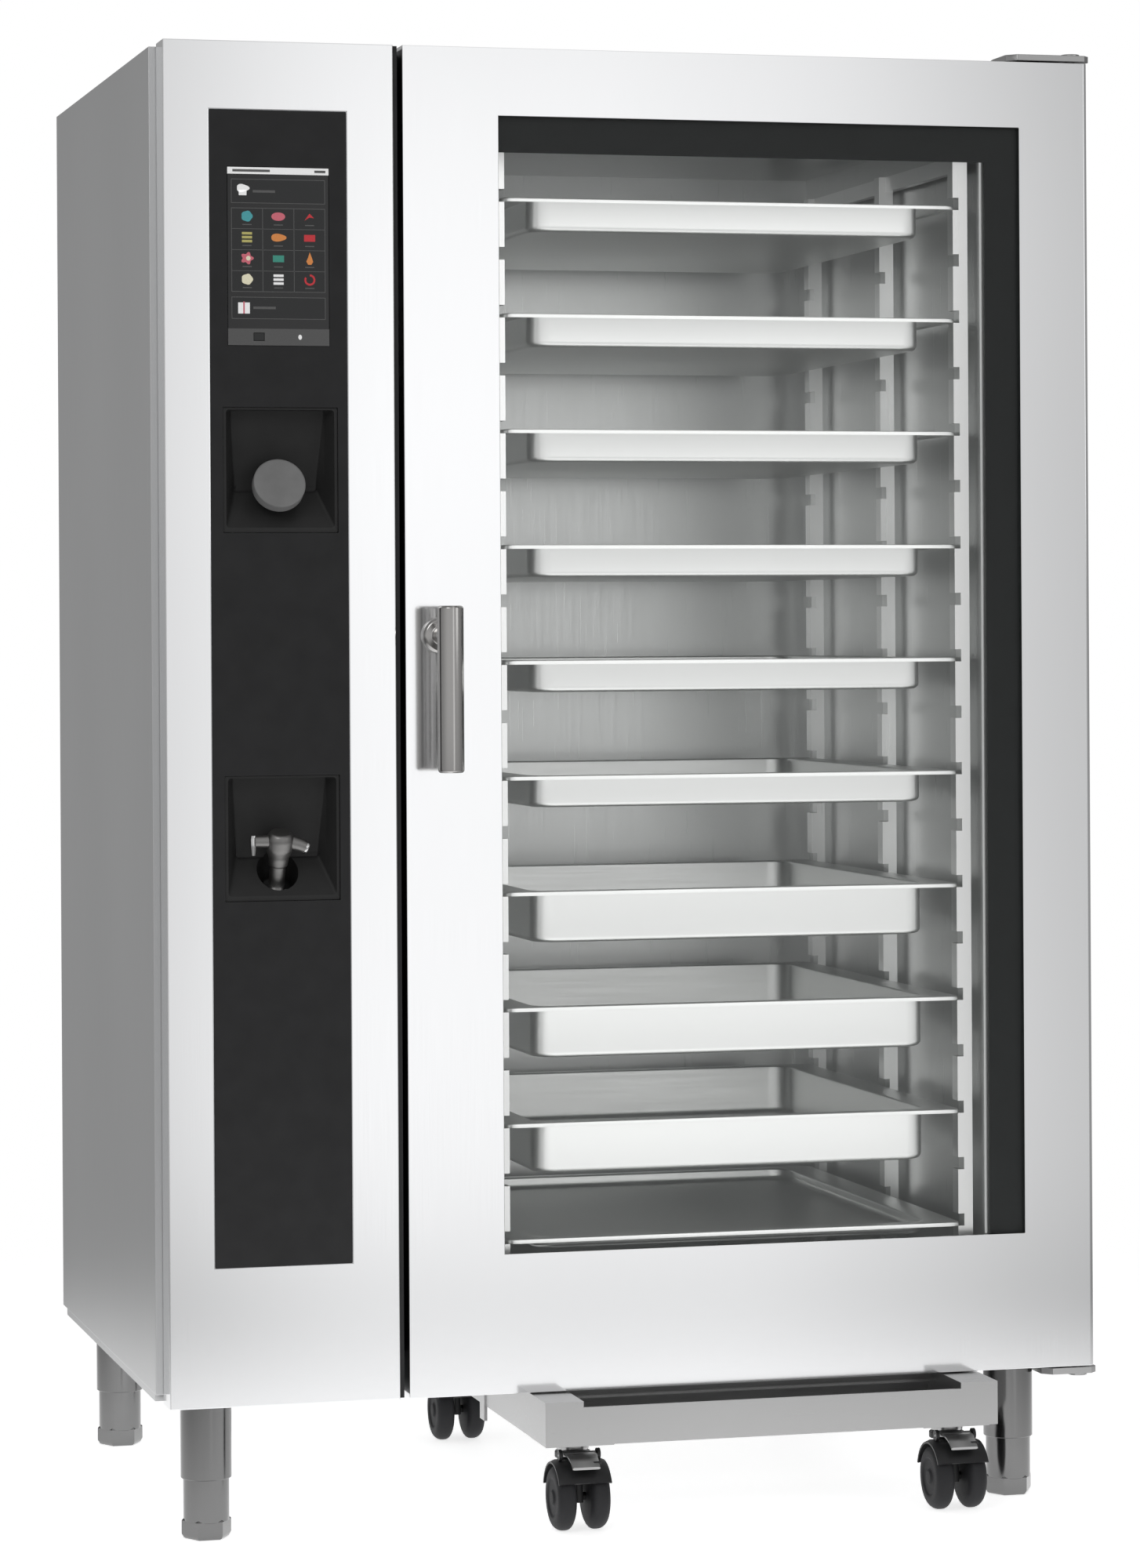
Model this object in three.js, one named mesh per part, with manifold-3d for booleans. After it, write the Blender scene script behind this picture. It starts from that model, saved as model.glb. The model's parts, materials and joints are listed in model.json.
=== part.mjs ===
// Roll-in combi steamer oven: a stainless cabinet on four adjustable legs, with a control column on
// the left, a glazed door hung on the right, and a docked rack trolley on four castors.
// Millimetres, +Z up, front towards -Y. Inside the oven group x is counted from the column's left
// front edge and y from the front faces; the whole group is then centred on the origin.

import * as THREE from 'three';
import { ConvexGeometry } from 'three/addons/geometries/ConvexGeometry.js';
import { mergeVertices } from 'three/addons/utils/BufferGeometryUtils.js';
import Module from 'manifold-3d';

const wasm = await Module();
wasm.setup();

// ---- Driving dimensions ----------------------------------------------------------------------

const GAP = 0.3; // clearance left between pieces that rest on each other
const SHEET = 2; // stainless sheet of the casings

const BODY_BOTTOM = 162; // underside of the column and the door
const BODY_TOP = 1810;
const BODY_REAR = 821;
const COLUMN_WIDTH = 283;
const COLUMN_RETURN = 48; // depth of the fascia's side return

const SIDE_OUTER = -9; // the side casing stands a little proud of the column
const SIDE_FRONT = 50;
const SIDE_BOTTOM = 172.7;
const SIDE_TOP = 1806.5;
const RIGHT_SIDE = 1180;
const REAR_PANEL = 805;
const CABINET_FRONT = 64; // front face of the cabinet behind the door
const FRAME_FRONT = CABINET_FRONT + 2 * (SHEET + GAP); // behind the front flange and side fold

const DOOR_LEFT = 294.7;
const DOOR_RIGHT = 1183;
const DOOR_DEPTH = 58;
const WINDOW = { x0: 415, x1: 1090.5, z0: 333, z1: 1726.5 };
const INNER_WINDOW = { x0: 411, x1: 1068, z0: 325, z1: 1697 };
const HINGE = { x: 1168, y: 22, pinRadius: 6 };

const HANDLE = { x: 337, y: -60, hubZ: 1091, bottom: 925, top: 1127, radius: 16 };

const PANEL = { x0: 56, x1: 224.5, z0: 330, z1: 1726.7, thickness: 4 };
const SCREEN = { x0: 78, x1: 202.4, z0: 1442.5, z1: 1657.5, thickness: 9 };
const RECESS = { x0: 74, x1: 209.5, height: 146, depth: 40, lipDepth: 24, floorRise: 52, draft: 0.43 };
const KNOB_RECESS_Z = 1219;
const SHOWER_RECESS_Z = 774;
const KNOB = { x: 140, y: -2, z: 1277, radius: 32, length: 30, tilt: 23 };
const SHOWER = { x: 139.5, y: 25, z: 806, tilt: 25 };

const CAVITY = { x0: 300, x1: 1060, rear: 788, z0: 210, z1: 1735 };
const BAFFLE_X = 397.3;
const FAN = { y: 425, z: 970, radius: 165, x0: 318, x1: 380 };

const LEG_X = [50, 1080];
const LEG_Y = [39, 703];
const LEG = { radius: 31, bore: 28.6, bottom: 73, top: 161.7 };
const FOOT = { radius: 28, hexRadius: 30.5, hexHeight: 24, top: 120 };

const TROLLEY_X = 737; // centre of the trolley and of the pans
const TROLLEY = { halfWidth: 290, front: -70, rear: 672, bottom: 107, barTop: 153, cheekTop: 160.5 };
const DECK_Z = 163;
const CASTOR_X = [-242, 242];
const CASTOR_Y = [-15, 634];
const CASTOR = { wheelRadius: 40, halfWidth: 34, trail: 25, top: 102.6 };

const LEVELS = 10;
const TOP_LEVEL_Z = 1635; // rim of the highest pan
const LEVEL_PITCH = 144;
const PAN = { rimHalf: 297.5, bodyHalf: 258, front: 80, rear: 722, flange: 20, lip: 5, wall: 1.2 };
const PAN_DEPTHS = [40, 40, 40, 40, 40, 40, 65, 65, 65, 16];
const RACK = { inner: 294.5, outer: 314, notchDepth: 8, notchHeight: 15.6, bottom: 166.3, top: 1700 };
const RACK_POSTS_Y = [84, 378, 690];
const RACK_POST_DEPTH = 20;

const BOX_MIN = { x: SIDE_OUTER, y: CASTOR_Y[0] - 66 }; // the brake pedals stand out furthest
const BOX_MAX = { x: 1188, y: BODY_REAR };

// ---- Materials: colour, roughness and metalness ------------------------------------------------

const finish = (color, roughness, metalness) => ({ color, roughness, metalness });
const STEEL = finish(0xdfe1e3, 0.32, 1);
const SIDE_STEEL = finish(0x9a9c9e, 0.4, 1);
const CAVITY_STEEL = finish(0x8c8e8e, 0.3, 1);
const PAN_STEEL = finish(0xe4e6e4, 0.35, 0.9);
const TROLLEY_STEEL = finish(0xb4b4b4, 0.4, 1);
const CHROME = finish(0xc8c8c8, 0.15, 1);
const BLACK_PLASTIC = finish(0x2a2a2a, 0.45, 0);
const GREY_PLASTIC = finish(0x6b6b6b, 0.5, 0);
const RUBBER = finish(0x1c1c1c, 0.8, 0);
const TYRE = finish(0x3a3b3d, 0.7, 0);
const GLASS = finish(0xcfd6d4, 0.03, 0);
const SCREEN_GLASS = finish(0x101214, 0.1, 0);
const MOTOR_PAINT = finish(0x454a50, 0.5, 0.3);

// ---- Solids ----------------------------------------------------------------------------------

const X_AXIS = new THREE.Vector3(1, 0, 0);
const Y_AXIS = new THREE.Vector3(0, 1, 0);
const Z_AXIS = new THREE.Vector3(0, 0, 1);

// Turns a closed three.js geometry into a solid that can be joined and cut.
function toSolid(geometry) {
  const bare = new THREE.BufferGeometry();
  bare.setAttribute('position', geometry.getAttribute('position'));
  if (geometry.index) bare.setIndex(geometry.index);
  const merged = mergeVertices(bare, 1e-4);
  const corners = merged.index.array;
  const triVerts = [];
  for (let i = 0; i < corners.length; i += 3) {
    const [a, b, c] = [corners[i], corners[i + 1], corners[i + 2]];
    if (a !== b && b !== c && c !== a) triVerts.push(a, b, c);
  }
  return new wasm.Manifold(new wasm.Mesh({
    numProp: 3,
    vertProperties: new Float32Array(merged.getAttribute('position').array),
    triVerts: new Uint32Array(triVerts),
  }));
}

const join = (...solids) => solids.reduce((whole, next) => whole.add(next));
const cut = (whole, ...tools) => tools.reduce((rest, tool) => rest.subtract(tool), whole);

function box(x0, x1, y0, y1, z0, z1) {
  const geometry = new THREE.BoxGeometry(x1 - x0, y1 - y0, z1 - z0);
  geometry.translate((x0 + x1) / 2, (y0 + y1) / 2, (z0 + z1) / 2);
  return toSolid(geometry);
}

// An outline drawn in the two other axes (x,z for a run along y), extruded from one place to another.
function prism(outline, axis, from, to) {
  const shape = new THREE.Shape(outline.map(([u, v]) => new THREE.Vector2(u, v)));
  const geometry = new THREE.ExtrudeGeometry(shape, { depth: to - from, bevelEnabled: false });
  const turn = new THREE.Matrix4();
  if (axis === 'x') turn.makeBasis(Y_AXIS, Z_AXIS, X_AXIS);
  if (axis === 'y') turn.makeBasis(X_AXIS, Z_AXIS, Y_AXIS.clone().negate());
  geometry.applyMatrix4(turn);
  if (axis === 'x') geometry.translate(from, 0, 0);
  if (axis === 'y') geometry.translate(0, to, 0);
  if (axis === 'z') geometry.translate(0, 0, from);
  return toSolid(geometry);
}

// A round bar or cone between two points.
function rod(start, end, radius, sides = 20, endRadius = radius) {
  const from = new THREE.Vector3(...start);
  const along = new THREE.Vector3(...end).sub(from);
  const geometry = new THREE.CylinderGeometry(endRadius, radius, along.length(), sides);
  geometry.translate(0, along.length() / 2, 0);
  geometry.applyQuaternion(new THREE.Quaternion().setFromUnitVectors(Y_AXIS, along.normalize()));
  geometry.translate(from.x, from.y, from.z);
  return toSolid(geometry);
}

// A turned solid: [radius, distance] pairs from one end of the axis to the other.
function turned(profile, origin, axis, sides = 24) {
  const points = profile.map(([radius, along]) => new THREE.Vector2(radius, along));
  const geometry = new THREE.LatheGeometry(points, sides);
  geometry.applyQuaternion(new THREE.Quaternion().setFromUnitVectors(Y_AXIS, axis));
  geometry.translate(origin.x, origin.y, origin.z);
  return toSolid(geometry);
}

const hull = (points) => toSolid(new ConvexGeometry(points.map((p) => new THREE.Vector3(...p))));

function meshOf(name, solid, look) {
  const { vertProperties, triVerts } = solid.getMesh();
  const geometry = new THREE.BufferGeometry();
  geometry.setAttribute('position', new THREE.BufferAttribute(vertProperties, 3));
  geometry.setIndex(new THREE.BufferAttribute(triVerts, 1));
  const mesh = new THREE.Mesh(geometry, new THREE.MeshStandardMaterial(look));
  mesh.name = name;
  return mesh;
}

// A point at a distance along an axis from an origin.
const along = (origin, axis, distance) => [
  origin.x + axis.x * distance, origin.y + axis.y * distance, origin.z + axis.z * distance];

const oven = new THREE.Group();
const add = (name, solid, look, group = oven) => group.add(meshOf(name, solid, look));

// ---- Cabinet casings ---------------------------------------------------------------------------

// A side casing: a tall sheet with a short return folded inwards along its front and rear edges.
function sidePanel(outerX, inward, frontY) {
  const flange = 25;
  const x = (distance) => outerX + inward * distance;
  const outline = [
    [x(0), frontY], [x(0), BODY_REAR], [x(flange), BODY_REAR], [x(flange), BODY_REAR - SHEET],
    [x(SHEET), BODY_REAR - SHEET], [x(SHEET), frontY + SHEET], [x(flange), frontY + SHEET],
    [x(flange), frontY],
  ];
  return prism(outline, 'z', SIDE_BOTTOM, SIDE_TOP);
}

const casingLeft = SIDE_OUTER + SHEET + GAP;
const casingRight = RIGHT_SIDE - SHEET - GAP;

function topPanel() {
  const [y0, y1, skirt] = [SIDE_FRONT + SHEET + GAP, REAR_PANEL - GAP, 20];
  const hollow = box(
    casingLeft + SHEET, casingRight - SHEET, y0 + SHEET, y1 - SHEET,
    SIDE_TOP - skirt - 1, SIDE_TOP - SHEET);
  const tray = cut(box(casingLeft, casingRight, y0, y1, SIDE_TOP - skirt, SIDE_TOP), hollow);
  const doorZone = box(
    COLUMN_WIDTH - SHEET - GAP, RIGHT_SIDE + 1, 0, FRAME_FRONT, SIDE_TOP - skirt - 1, BODY_TOP);
  return cut(tray, doorZone);
}

// The rear closing sheet, with rows of ventilation slots behind the control column.
function rearPanel() {
  const sheet = box(casingLeft, casingRight, REAR_PANEL, REAR_PANEL + SHEET, SIDE_BOTTOM, SIDE_TOP);
  const slots = [];
  for (let row = 0; row < 6; row += 1) {
    const z = 1450 + row * 34;
    slots.push(box(60, 220, REAR_PANEL - 1, REAR_PANEL + SHEET + 1, z, z + 10));
  }
  return cut(sheet, ...slots);
}

// Open-topped channel frame that carries the cabinet: a U in plan, open at the front between its
// arms so that the trolley can roll in.
function baseFrame() {
  const wall = 3;
  const z0 = BODY_BOTTOM + GAP;
  const z1 = CAVITY.z0 - GAP;
  const front = FRAME_FRONT;
  const rear = REAR_PANEL - 5;
  const trayBox = (x0, x1, y0, y1) => cut(
    box(x0, x1, y0, y1, z0, z1),
    box(x0 + wall, x1 - wall, y0 + wall, y1 - wall, z0 + wall, z1 + 1),
  );
  return join(
    trayBox(casingLeft, BAFFLE_X, front, rear),
    trayBox(CAVITY.x1, casingRight, front, rear),
    trayBox(BAFFLE_X - wall, CAVITY.x1 + wall, rear - 60, rear),
  );
}

// Inner liner: fan chamber and cooking space in one welded shell, with its front flange around
// the door opening. It is open below, where the trolley's deck closes it.
function cavityLiner() {
  const { x0, x1, rear, z0, z1 } = CAVITY;
  const t = SHEET;
  const front = CABINET_FRONT;
  const shell = prism([
    [x0 - t, z0], [BAFFLE_X, z0], [BAFFLE_X, z0 + t], [x0, z0 + t], [x0, z1], [x1, z1], [x1, z0],
    [x1 + t, z0], [x1 + t, z1 + t], [x0 - t, z1 + t],
  ], 'y', front + 1, rear + t);
  const rearWall = box(x0 - t, x1 + t, rear, rear + t, z0, z1 + t);
  const flange = cut(
    box(DOOR_LEFT + 2, casingRight, front, front + t, z0, SIDE_TOP - 3),
    box(BAFFLE_X, x1, front - 1, front + t + 1, z0 - 1, z1),
  );
  const shaftHole = rod([x0 - 10, FAN.y, FAN.z], [x0 + 10, FAN.y, FAN.z], 10);
  return cut(join(shell, rearWall, flange), shaftHole, ...heaterTails(6.5), steamPipe(13));
}

// Upright seal on the cabinet's front flange, around the cooking space's top and sides.
function doorGasket() {
  const width = 16;
  const x0 = BAFFLE_X - 3;
  const x1 = CAVITY.x1 + 4;
  const z1 = CAVITY.z1 + 4;
  return prism([
    [x0 - width, CAVITY.z0], [x0, CAVITY.z0], [x0, z1], [x1, z1], [x1, CAVITY.z0],
    [x1 + width, CAVITY.z0], [x1 + width, z1 + width], [x0 - width, z1 + width],
  ], 'y', DOOR_DEPTH + GAP, CABINET_FRONT - GAP);
}

// ---- Fan, heater and boiler ----------------------------------------------------------------------

// Sheet between the fan chamber and the food, with the fan's intake and upright air slots.
function fanBaffle() {
  const [y0, y1, z0, z1] = [72, CAVITY.rear - 4, CAVITY.z0 + 6, CAVITY.z1 - 6];
  const sheet = box(BAFFLE_X, BAFFLE_X + SHEET, y0, y1, z0, z1);
  const intake = rod([BAFFLE_X - 5, FAN.y, FAN.z], [BAFFLE_X + 5, FAN.y, FAN.z], 135, 32);
  const slots = [];
  for (const y of [y0 + 14, y1 - 30]) {
    for (const z of [z0 + 60, z0 + 560, z0 + 1060]) {
      slots.push(box(BAFFLE_X - 5, BAFFLE_X + 5, y, y + 16, z, z + 380));
    }
  }
  return cut(sheet, intake, ...slots);
}

function fanMotor() {
  const [x0, x1] = [150, CAVITY.x0 - SHEET - GAP];
  const shell = join(
    rod([x0, FAN.y, FAN.z], [x1 - 8, FAN.y, FAN.z], 62),
    box(x1 - 9, x1, FAN.y - 80, FAN.y + 80, FAN.z - 80, FAN.z + 80),
    box(x0 + 20, x1 - 40, FAN.y - 30, FAN.y + 30, FAN.z + 50, FAN.z + 90),
  );
  return cut(shell, rod([x0 + 30, FAN.y, FAN.z], [x1 + 1, FAN.y, FAN.z], 8));
}

// Radial fan wheel: back disc, ring of straight blades, front ring and the motor shaft.
function fanWheel() {
  const blades = [];
  const count = 10;
  const bladeLength = 62;
  for (let i = 0; i < count; i += 1) {
    const blade = new THREE.BoxGeometry(FAN.x1 - FAN.x0 - 2, bladeLength, 3);
    blade.translate((FAN.x0 + FAN.x1) / 2, FAN.radius - bladeLength / 2 - 3, 0);
    blade.rotateX((i / count) * Math.PI * 2);
    blade.translate(0, FAN.y, FAN.z);
    blades.push(toSolid(blade));
  }
  const disc = rod([FAN.x0, FAN.y, FAN.z], [FAN.x0 + 3, FAN.y, FAN.z], FAN.radius, 28);
  const ring = cut(
    rod([FAN.x1 - 3, FAN.y, FAN.z], [FAN.x1, FAN.y, FAN.z], FAN.radius, 28),
    rod([FAN.x1 - 5, FAN.y, FAN.z], [FAN.x1 + 5, FAN.y, FAN.z], FAN.radius - 45, 28),
  );
  const shaft = rod([190, FAN.y, FAN.z], [FAN.x0 + 30, FAN.y, FAN.z], 7, 16);
  return join(disc, ring, shaft, ...blades);
}

const HEATER = { radius: 205, tube: 6, x: 350 };

// The two straight ends of the heating element, through the liner's wall.
const heaterTails = (radius) => [-18, 18].map((offset) => rod(
  [CAVITY.x0 - 30, FAN.y + offset, FAN.z + HEATER.radius],
  [HEATER.x, FAN.y + offset, FAN.z + HEATER.radius], radius, 12));

function heatingElement() {
  const ring = new THREE.TorusGeometry(HEATER.radius, HEATER.tube, 6, 32);
  ring.rotateY(Math.PI / 2);
  ring.translate(HEATER.x, FAN.y, FAN.z);
  return join(toSolid(ring), ...heaterTails(5.5));
}

const BOILER = { x: 150, y: 560, bottom: 330, top: 760, radius: 85 };

const steamPipe = (radius) => rod(
  [BOILER.x, BOILER.y, BOILER.top - 60], [CAVITY.x0 + 12, BOILER.y, BOILER.top - 60], radius, 16);

function steamBoiler() {
  const { bottom, top, radius } = BOILER;
  const tank = turned([
    [0, bottom], [radius * 0.6, bottom + 8], [radius * 0.9, bottom + 26], [radius, bottom + 50],
    [radius, top - 50], [radius * 0.9, top - 26], [radius * 0.6, top - 8], [0, top],
  ], { x: BOILER.x, y: BOILER.y, z: 0 }, Z_AXIS, 24);
  return join(tank, steamPipe(12));
}

// Steam outlet on the roof: an open collar with a flange.
function steamVent() {
  const [x, y, z] = [190, 640, SIDE_TOP + GAP];
  return cut(
    join(rod([x, y, z], [x, y, z + 3], 48, 24), rod([x, y, z], [x, y, z + 14], 34, 24)),
    rod([x, y, z - 1], [x, y, z + 20], 31, 24),
  );
}

// ---- Control column ----------------------------------------------------------------------------

// Folded front sheet of the column, with the tall cut-out for the control panel.
function columnFascia() {
  const t = SHEET;
  const shell = cut(
    box(0, COLUMN_WIDTH, 0, CABINET_FRONT - GAP, BODY_BOTTOM, BODY_TOP),
    box(t, COLUMN_WIDTH - t, t, CABINET_FRONT + 1, BODY_BOTTOM + t, BODY_TOP - t),
    box(-1, COLUMN_WIDTH - t, COLUMN_RETURN, CABINET_FRONT + 1, BODY_BOTTOM - 1, BODY_TOP + 1),
  );
  const opening = box(PANEL.x0 - GAP, PANEL.x1 + GAP, -1, t + 1, PANEL.z0 - GAP, PANEL.z1 + GAP);
  return cut(shell, opening);
}

// Black strip that lines the joint between the column and the door.
const columnEdgeStrip = () => box(
  COLUMN_WIDTH + GAP, COLUMN_WIDTH + 6, 4, CABINET_FRONT - GAP, BODY_BOTTOM + 1, BODY_TOP - 1);

// The hollow of a recess: its floor rises inwards, its sides draw together, its back leans forward.
function recessHollow(bottomZ, grow) {
  const { x0, x1, height, depth, lipDepth, floorRise, draft } = RECESS;
  const [z0, z1] = [bottomZ - grow, bottomZ + height + grow];
  const corner = (side, y, z) => [
    side < 0 ? x0 + y * draft - grow : x1 - y * draft + grow, y ? y + grow : 0, z];
  return hull([-1, 1].flatMap((side) => [
    corner(side, 0, z0), corner(side, 0, z1), corner(side, depth, bottomZ + floorRise),
    corner(side, lipDepth, z1),
  ]));
}

const RECESS_WALL = 2.5;

// Everything in front of the panel's face, and the skin of 0.01 mm behind it.
const inFrontOf = (bottomZ) => box(
  RECESS.x0, RECESS.x1, -60, 0.01, bottomZ, bottomZ + RECESS.height);

const recessShell = (bottomZ) => cut(
  recessHollow(bottomZ, RECESS_WALL), recessHollow(bottomZ, 0), inFrontOf(bottomZ));

function controlPanel() {
  const rim = RECESS_WALL + GAP;
  const windows = [KNOB_RECESS_Z, SHOWER_RECESS_Z].map((z) => box(
    RECESS.x0 - rim, RECESS.x1 + rim, -1, PANEL.thickness + 1, z - rim, z + RECESS.height + rim));
  const screenHole = box(
    SCREEN.x0 - GAP, SCREEN.x1 + GAP, -1, PANEL.thickness + 1, SCREEN.z0 - GAP, SCREEN.z1 + GAP);
  const sheet = box(PANEL.x0, PANEL.x1, 0, PANEL.thickness, PANEL.z0, PANEL.z1);
  return cut(sheet, screenHole, ...windows);
}

const touchScreen = () => box(SCREEN.x0, SCREEN.x1, 0, SCREEN.thickness, SCREEN.z0, SCREEN.z1);

const tiltedAxis = (degrees, towardsFront, upwards) => {
  const angle = THREE.MathUtils.degToRad(degrees);
  return new THREE.Vector3(0, -towardsFront(angle), upwards(angle));
};
const KNOB_AXIS = tiltedAxis(KNOB.tilt, Math.cos, Math.sin);
const SHOWER_AXIS = tiltedAxis(SHOWER.tilt, Math.sin, Math.cos);

function knobRecess() {
  const shaftHole = rod(along(KNOB, KNOB_AXIS, -80), along(KNOB, KNOB_AXIS, 0), 5, 16);
  return cut(recessShell(KNOB_RECESS_Z), shaftHole);
}

function encoderShaft() {
  const shaft = rod(along(KNOB, KNOB_AXIS, -62), along(KNOB, KNOB_AXIS, -10), 4, 16);
  const coder = rod(along(KNOB, KNOB_AXIS, -62), along(KNOB, KNOB_AXIS, -48), 12, 16);
  return join(shaft, coder);
}

function selectorKnob() {
  const { radius, length } = KNOB;
  const body = turned([
    [0, -length], [22, -length], [24, -22], [radius - 1, -17], [radius, -15],
    [radius, -2], [radius - 2, 0], [0, 0],
  ], KNOB, KNOB_AXIS);
  const bore = rod(along(KNOB, KNOB_AXIS, -length - 1), along(KNOB, KNOB_AXIS, -9.7), 4.3, 16);
  return cut(body, bore);
}

// Recess with a cup in its floor, which the hand shower parks in.
function showerRecess() {
  const at = (distance) => along(SHOWER, SHOWER_AXIS, distance);
  const hollow = recessHollow(SHOWER_RECESS_Z, 0);
  const cup = cut(rod(at(-32), at(12), 28, 24), hollow, inFrontOf(SHOWER_RECESS_Z));
  const bore = rod(at(-29), at(30), 25.5, 24);
  const stemHole = rod(at(-40), at(0), 11.5);
  return cut(join(recessShell(SHOWER_RECESS_Z), cup), bore, stemHole);
}

// Hand shower: stem with a collar that rests in the cup, valve body, lever arm and nozzle arm.
function handShower() {
  const at = (distance) => along(SHOWER, SHOWER_AXIS, distance);
  const head = new THREE.Vector3(...at(40));
  const arm = (x, drop, radius, endRadius) => rod(
    head.toArray(), [head.x + x, head.y, head.z - drop], radius, 16, endRadius);
  return join(
    rod(at(-170), at(20), 9.5, 20),
    rod(at(-28.7), at(-18), 17, 20),
    rod(at(14), at(30), 11, 20, 15),
    rod(at(30), at(48), 15, 20, 12),
    arm(-34, 0, 7, 7),
    arm(38, 10, 8, 6),
    box(head.x - 38, head.x - 33, head.y - 8, head.y + 8, head.z - 16, head.z + 9),
  );
}

// ---- Door ----------------------------------------------------------------------------------------

// Folded outer shell of the door, open at the back, with the window and the handle's hole.
function doorFrame() {
  const [z0, z1, t, bevel] = [BODY_BOTTOM, BODY_TOP, SHEET, 5];
  const plan = (inset) => [
    [DOOR_LEFT + inset, inset], [DOOR_RIGHT - bevel, inset], [DOOR_RIGHT - inset, bevel],
    [DOOR_RIGHT - inset, DOOR_DEPTH + inset], [DOOR_LEFT + inset, DOOR_DEPTH + inset],
  ];
  const shell = cut(prism(plan(0), 'z', z0, z1), prism(plan(t), 'z', z0 + t, z1 - t));
  const window = box(WINDOW.x0, WINDOW.x1, -1, t + 1, WINDOW.z0, WINDOW.z1);
  const pinHole = rod([HINGE.x, HINGE.y, z0 - 5], [HINGE.x, HINGE.y, z1 + 5], HINGE.pinRadius + 0.6);
  const spindleHole = rod([HANDLE.x, -5, HANDLE.hubZ], [HANDLE.x, t + 5, HANDLE.hubZ], 8);
  return cut(shell, window, pinHole, spindleHole);
}

// Glued behind the shell's window.
const doorOuterGlass = () => box(
  WINDOW.x0 - 8, WINDOW.x1 + 8, SHEET + GAP, SHEET + GAP + 5, WINDOW.z0 - 8, WINDOW.z1 + 8);

// Rear closing sheet of the door, with a tunnel that holds the inner glass.
function doorInnerFrame() {
  const [t, back] = [SHEET, DOOR_DEPTH];
  const { x0, x1, z0, z1 } = INNER_WINDOW;
  const inset = SHEET + GAP;
  const sheet = box(
    DOOR_LEFT + inset, DOOR_RIGHT - inset, back - t, back, BODY_BOTTOM + inset, BODY_TOP - inset);
  const tunnel = box(x0 - t, x1 + t, 9, back, z0 - t, z1 + t);
  return cut(join(sheet, tunnel), box(x0, x1, 8, back + 1, z0, z1));
}

const doorInnerGlass = () => box(
  INNER_WINDOW.x0 + GAP, INNER_WINDOW.x1 - GAP, 48, 52, INNER_WINDOW.z0 + GAP, INNER_WINDOW.z1 - GAP);

// Lever handle: upright grip, hub, rose and the spindle with its latch cam inside the door.
function doorHandle() {
  const { x, y, hubZ, bottom, top, radius } = HANDLE;
  const grip = turned([
    [0, bottom], [radius - 2.5, bottom], [radius, bottom + 2.5], [radius, top - 2.5],
    [radius - 2.5, top], [0, top],
  ], { x, y, z: 0 }, Z_AXIS, 24);
  const cam = hull([[-9, 9], [9, 9], [9, -9], [-9, -24], [-3, -26]].flatMap(
    ([u, v]) => [[x + u, 34, hubZ + v], [x + u, 42, hubZ + v]]));
  return join(
    grip,
    rod([x, y, hubZ], [x, -9, hubZ], 11, 20),
    rod([x, -10, hubZ], [x, -GAP, hubZ], 19, 24, 22),
    rod([x, -1, hubZ], [x, 44, hubZ], 7, 16),
    cam,
  );
}

// A hinge bracket screwed to the cabinet, with the pin that the door turns on.
function hingeBracket(plateZ0, plateZ1, footZ0, footZ1, pin, head, x0) {
  const plate = prism([
    [x0 + 12, 130], [x0, 60], [x0, 14], [x0 + 12, 2], [BOX_MAX.x - 8, 2], [BOX_MAX.x, 10],
    [BOX_MAX.x, 50], [casingRight - 6, 66], [casingRight - 6, 130],
  ].reverse(), 'z', plateZ0, plateZ1);
  const foot = box(x0 + 14, casingRight - 8, 68.5, 128, footZ0, footZ1);
  const { x, y, pinRadius } = HINGE;
  return join(
    plate, foot,
    rod([x, y, pin[0]], [x, y, pin[1]], pinRadius, 20),
    rod([x, y, head[0]], [x, y, head[1]], 12, 20),
  );
}

const hingeBracketTop = () => hingeBracket(
  BODY_TOP + 2, BODY_TOP + 10, SIDE_TOP + GAP, BODY_TOP + 4,
  [BODY_TOP - 12, BODY_TOP + 8], [BODY_TOP + 9, BODY_TOP + 13], 1078);

const hingeBracketBottom = () => hingeBracket(
  BODY_BOTTOM - 10, BODY_BOTTOM - 2, BODY_BOTTOM - 4, BODY_BOTTOM,
  [BODY_BOTTOM - 8, BODY_BOTTOM + 14], [BODY_BOTTOM - 14, BODY_BOTTOM - 9], 1116);

// ---- Legs and feet, drawn around their own vertical axis -------------------------------------------

function legTube() {
  const tube = cut(
    rod([0, 0, LEG.bottom], [0, 0, LEG.top], LEG.radius),
    rod([0, 0, LEG.bottom - 1], [0, 0, LEG.top - 6], LEG.bore),
  );
  return join(tube, box(-24, 24, 5, 91, LEG.top - 5, LEG.top));
}

function foot() {
  const chamfer = 6;
  const hex = (z0, z1, r0, r1) => rod([0, 0, z0], [0, 0, z1], r0, 6, r1);
  return join(
    hex(0, chamfer, FOOT.hexRadius - 4, FOOT.hexRadius),
    hex(chamfer, FOOT.hexHeight, FOOT.hexRadius, FOOT.hexRadius),
    rod([0, 0, FOOT.hexHeight - 3], [0, 0, FOOT.top], FOOT.radius),
  );
}

// ---- Trolley, drawn around its own centre line ---------------------------------------------------

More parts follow.
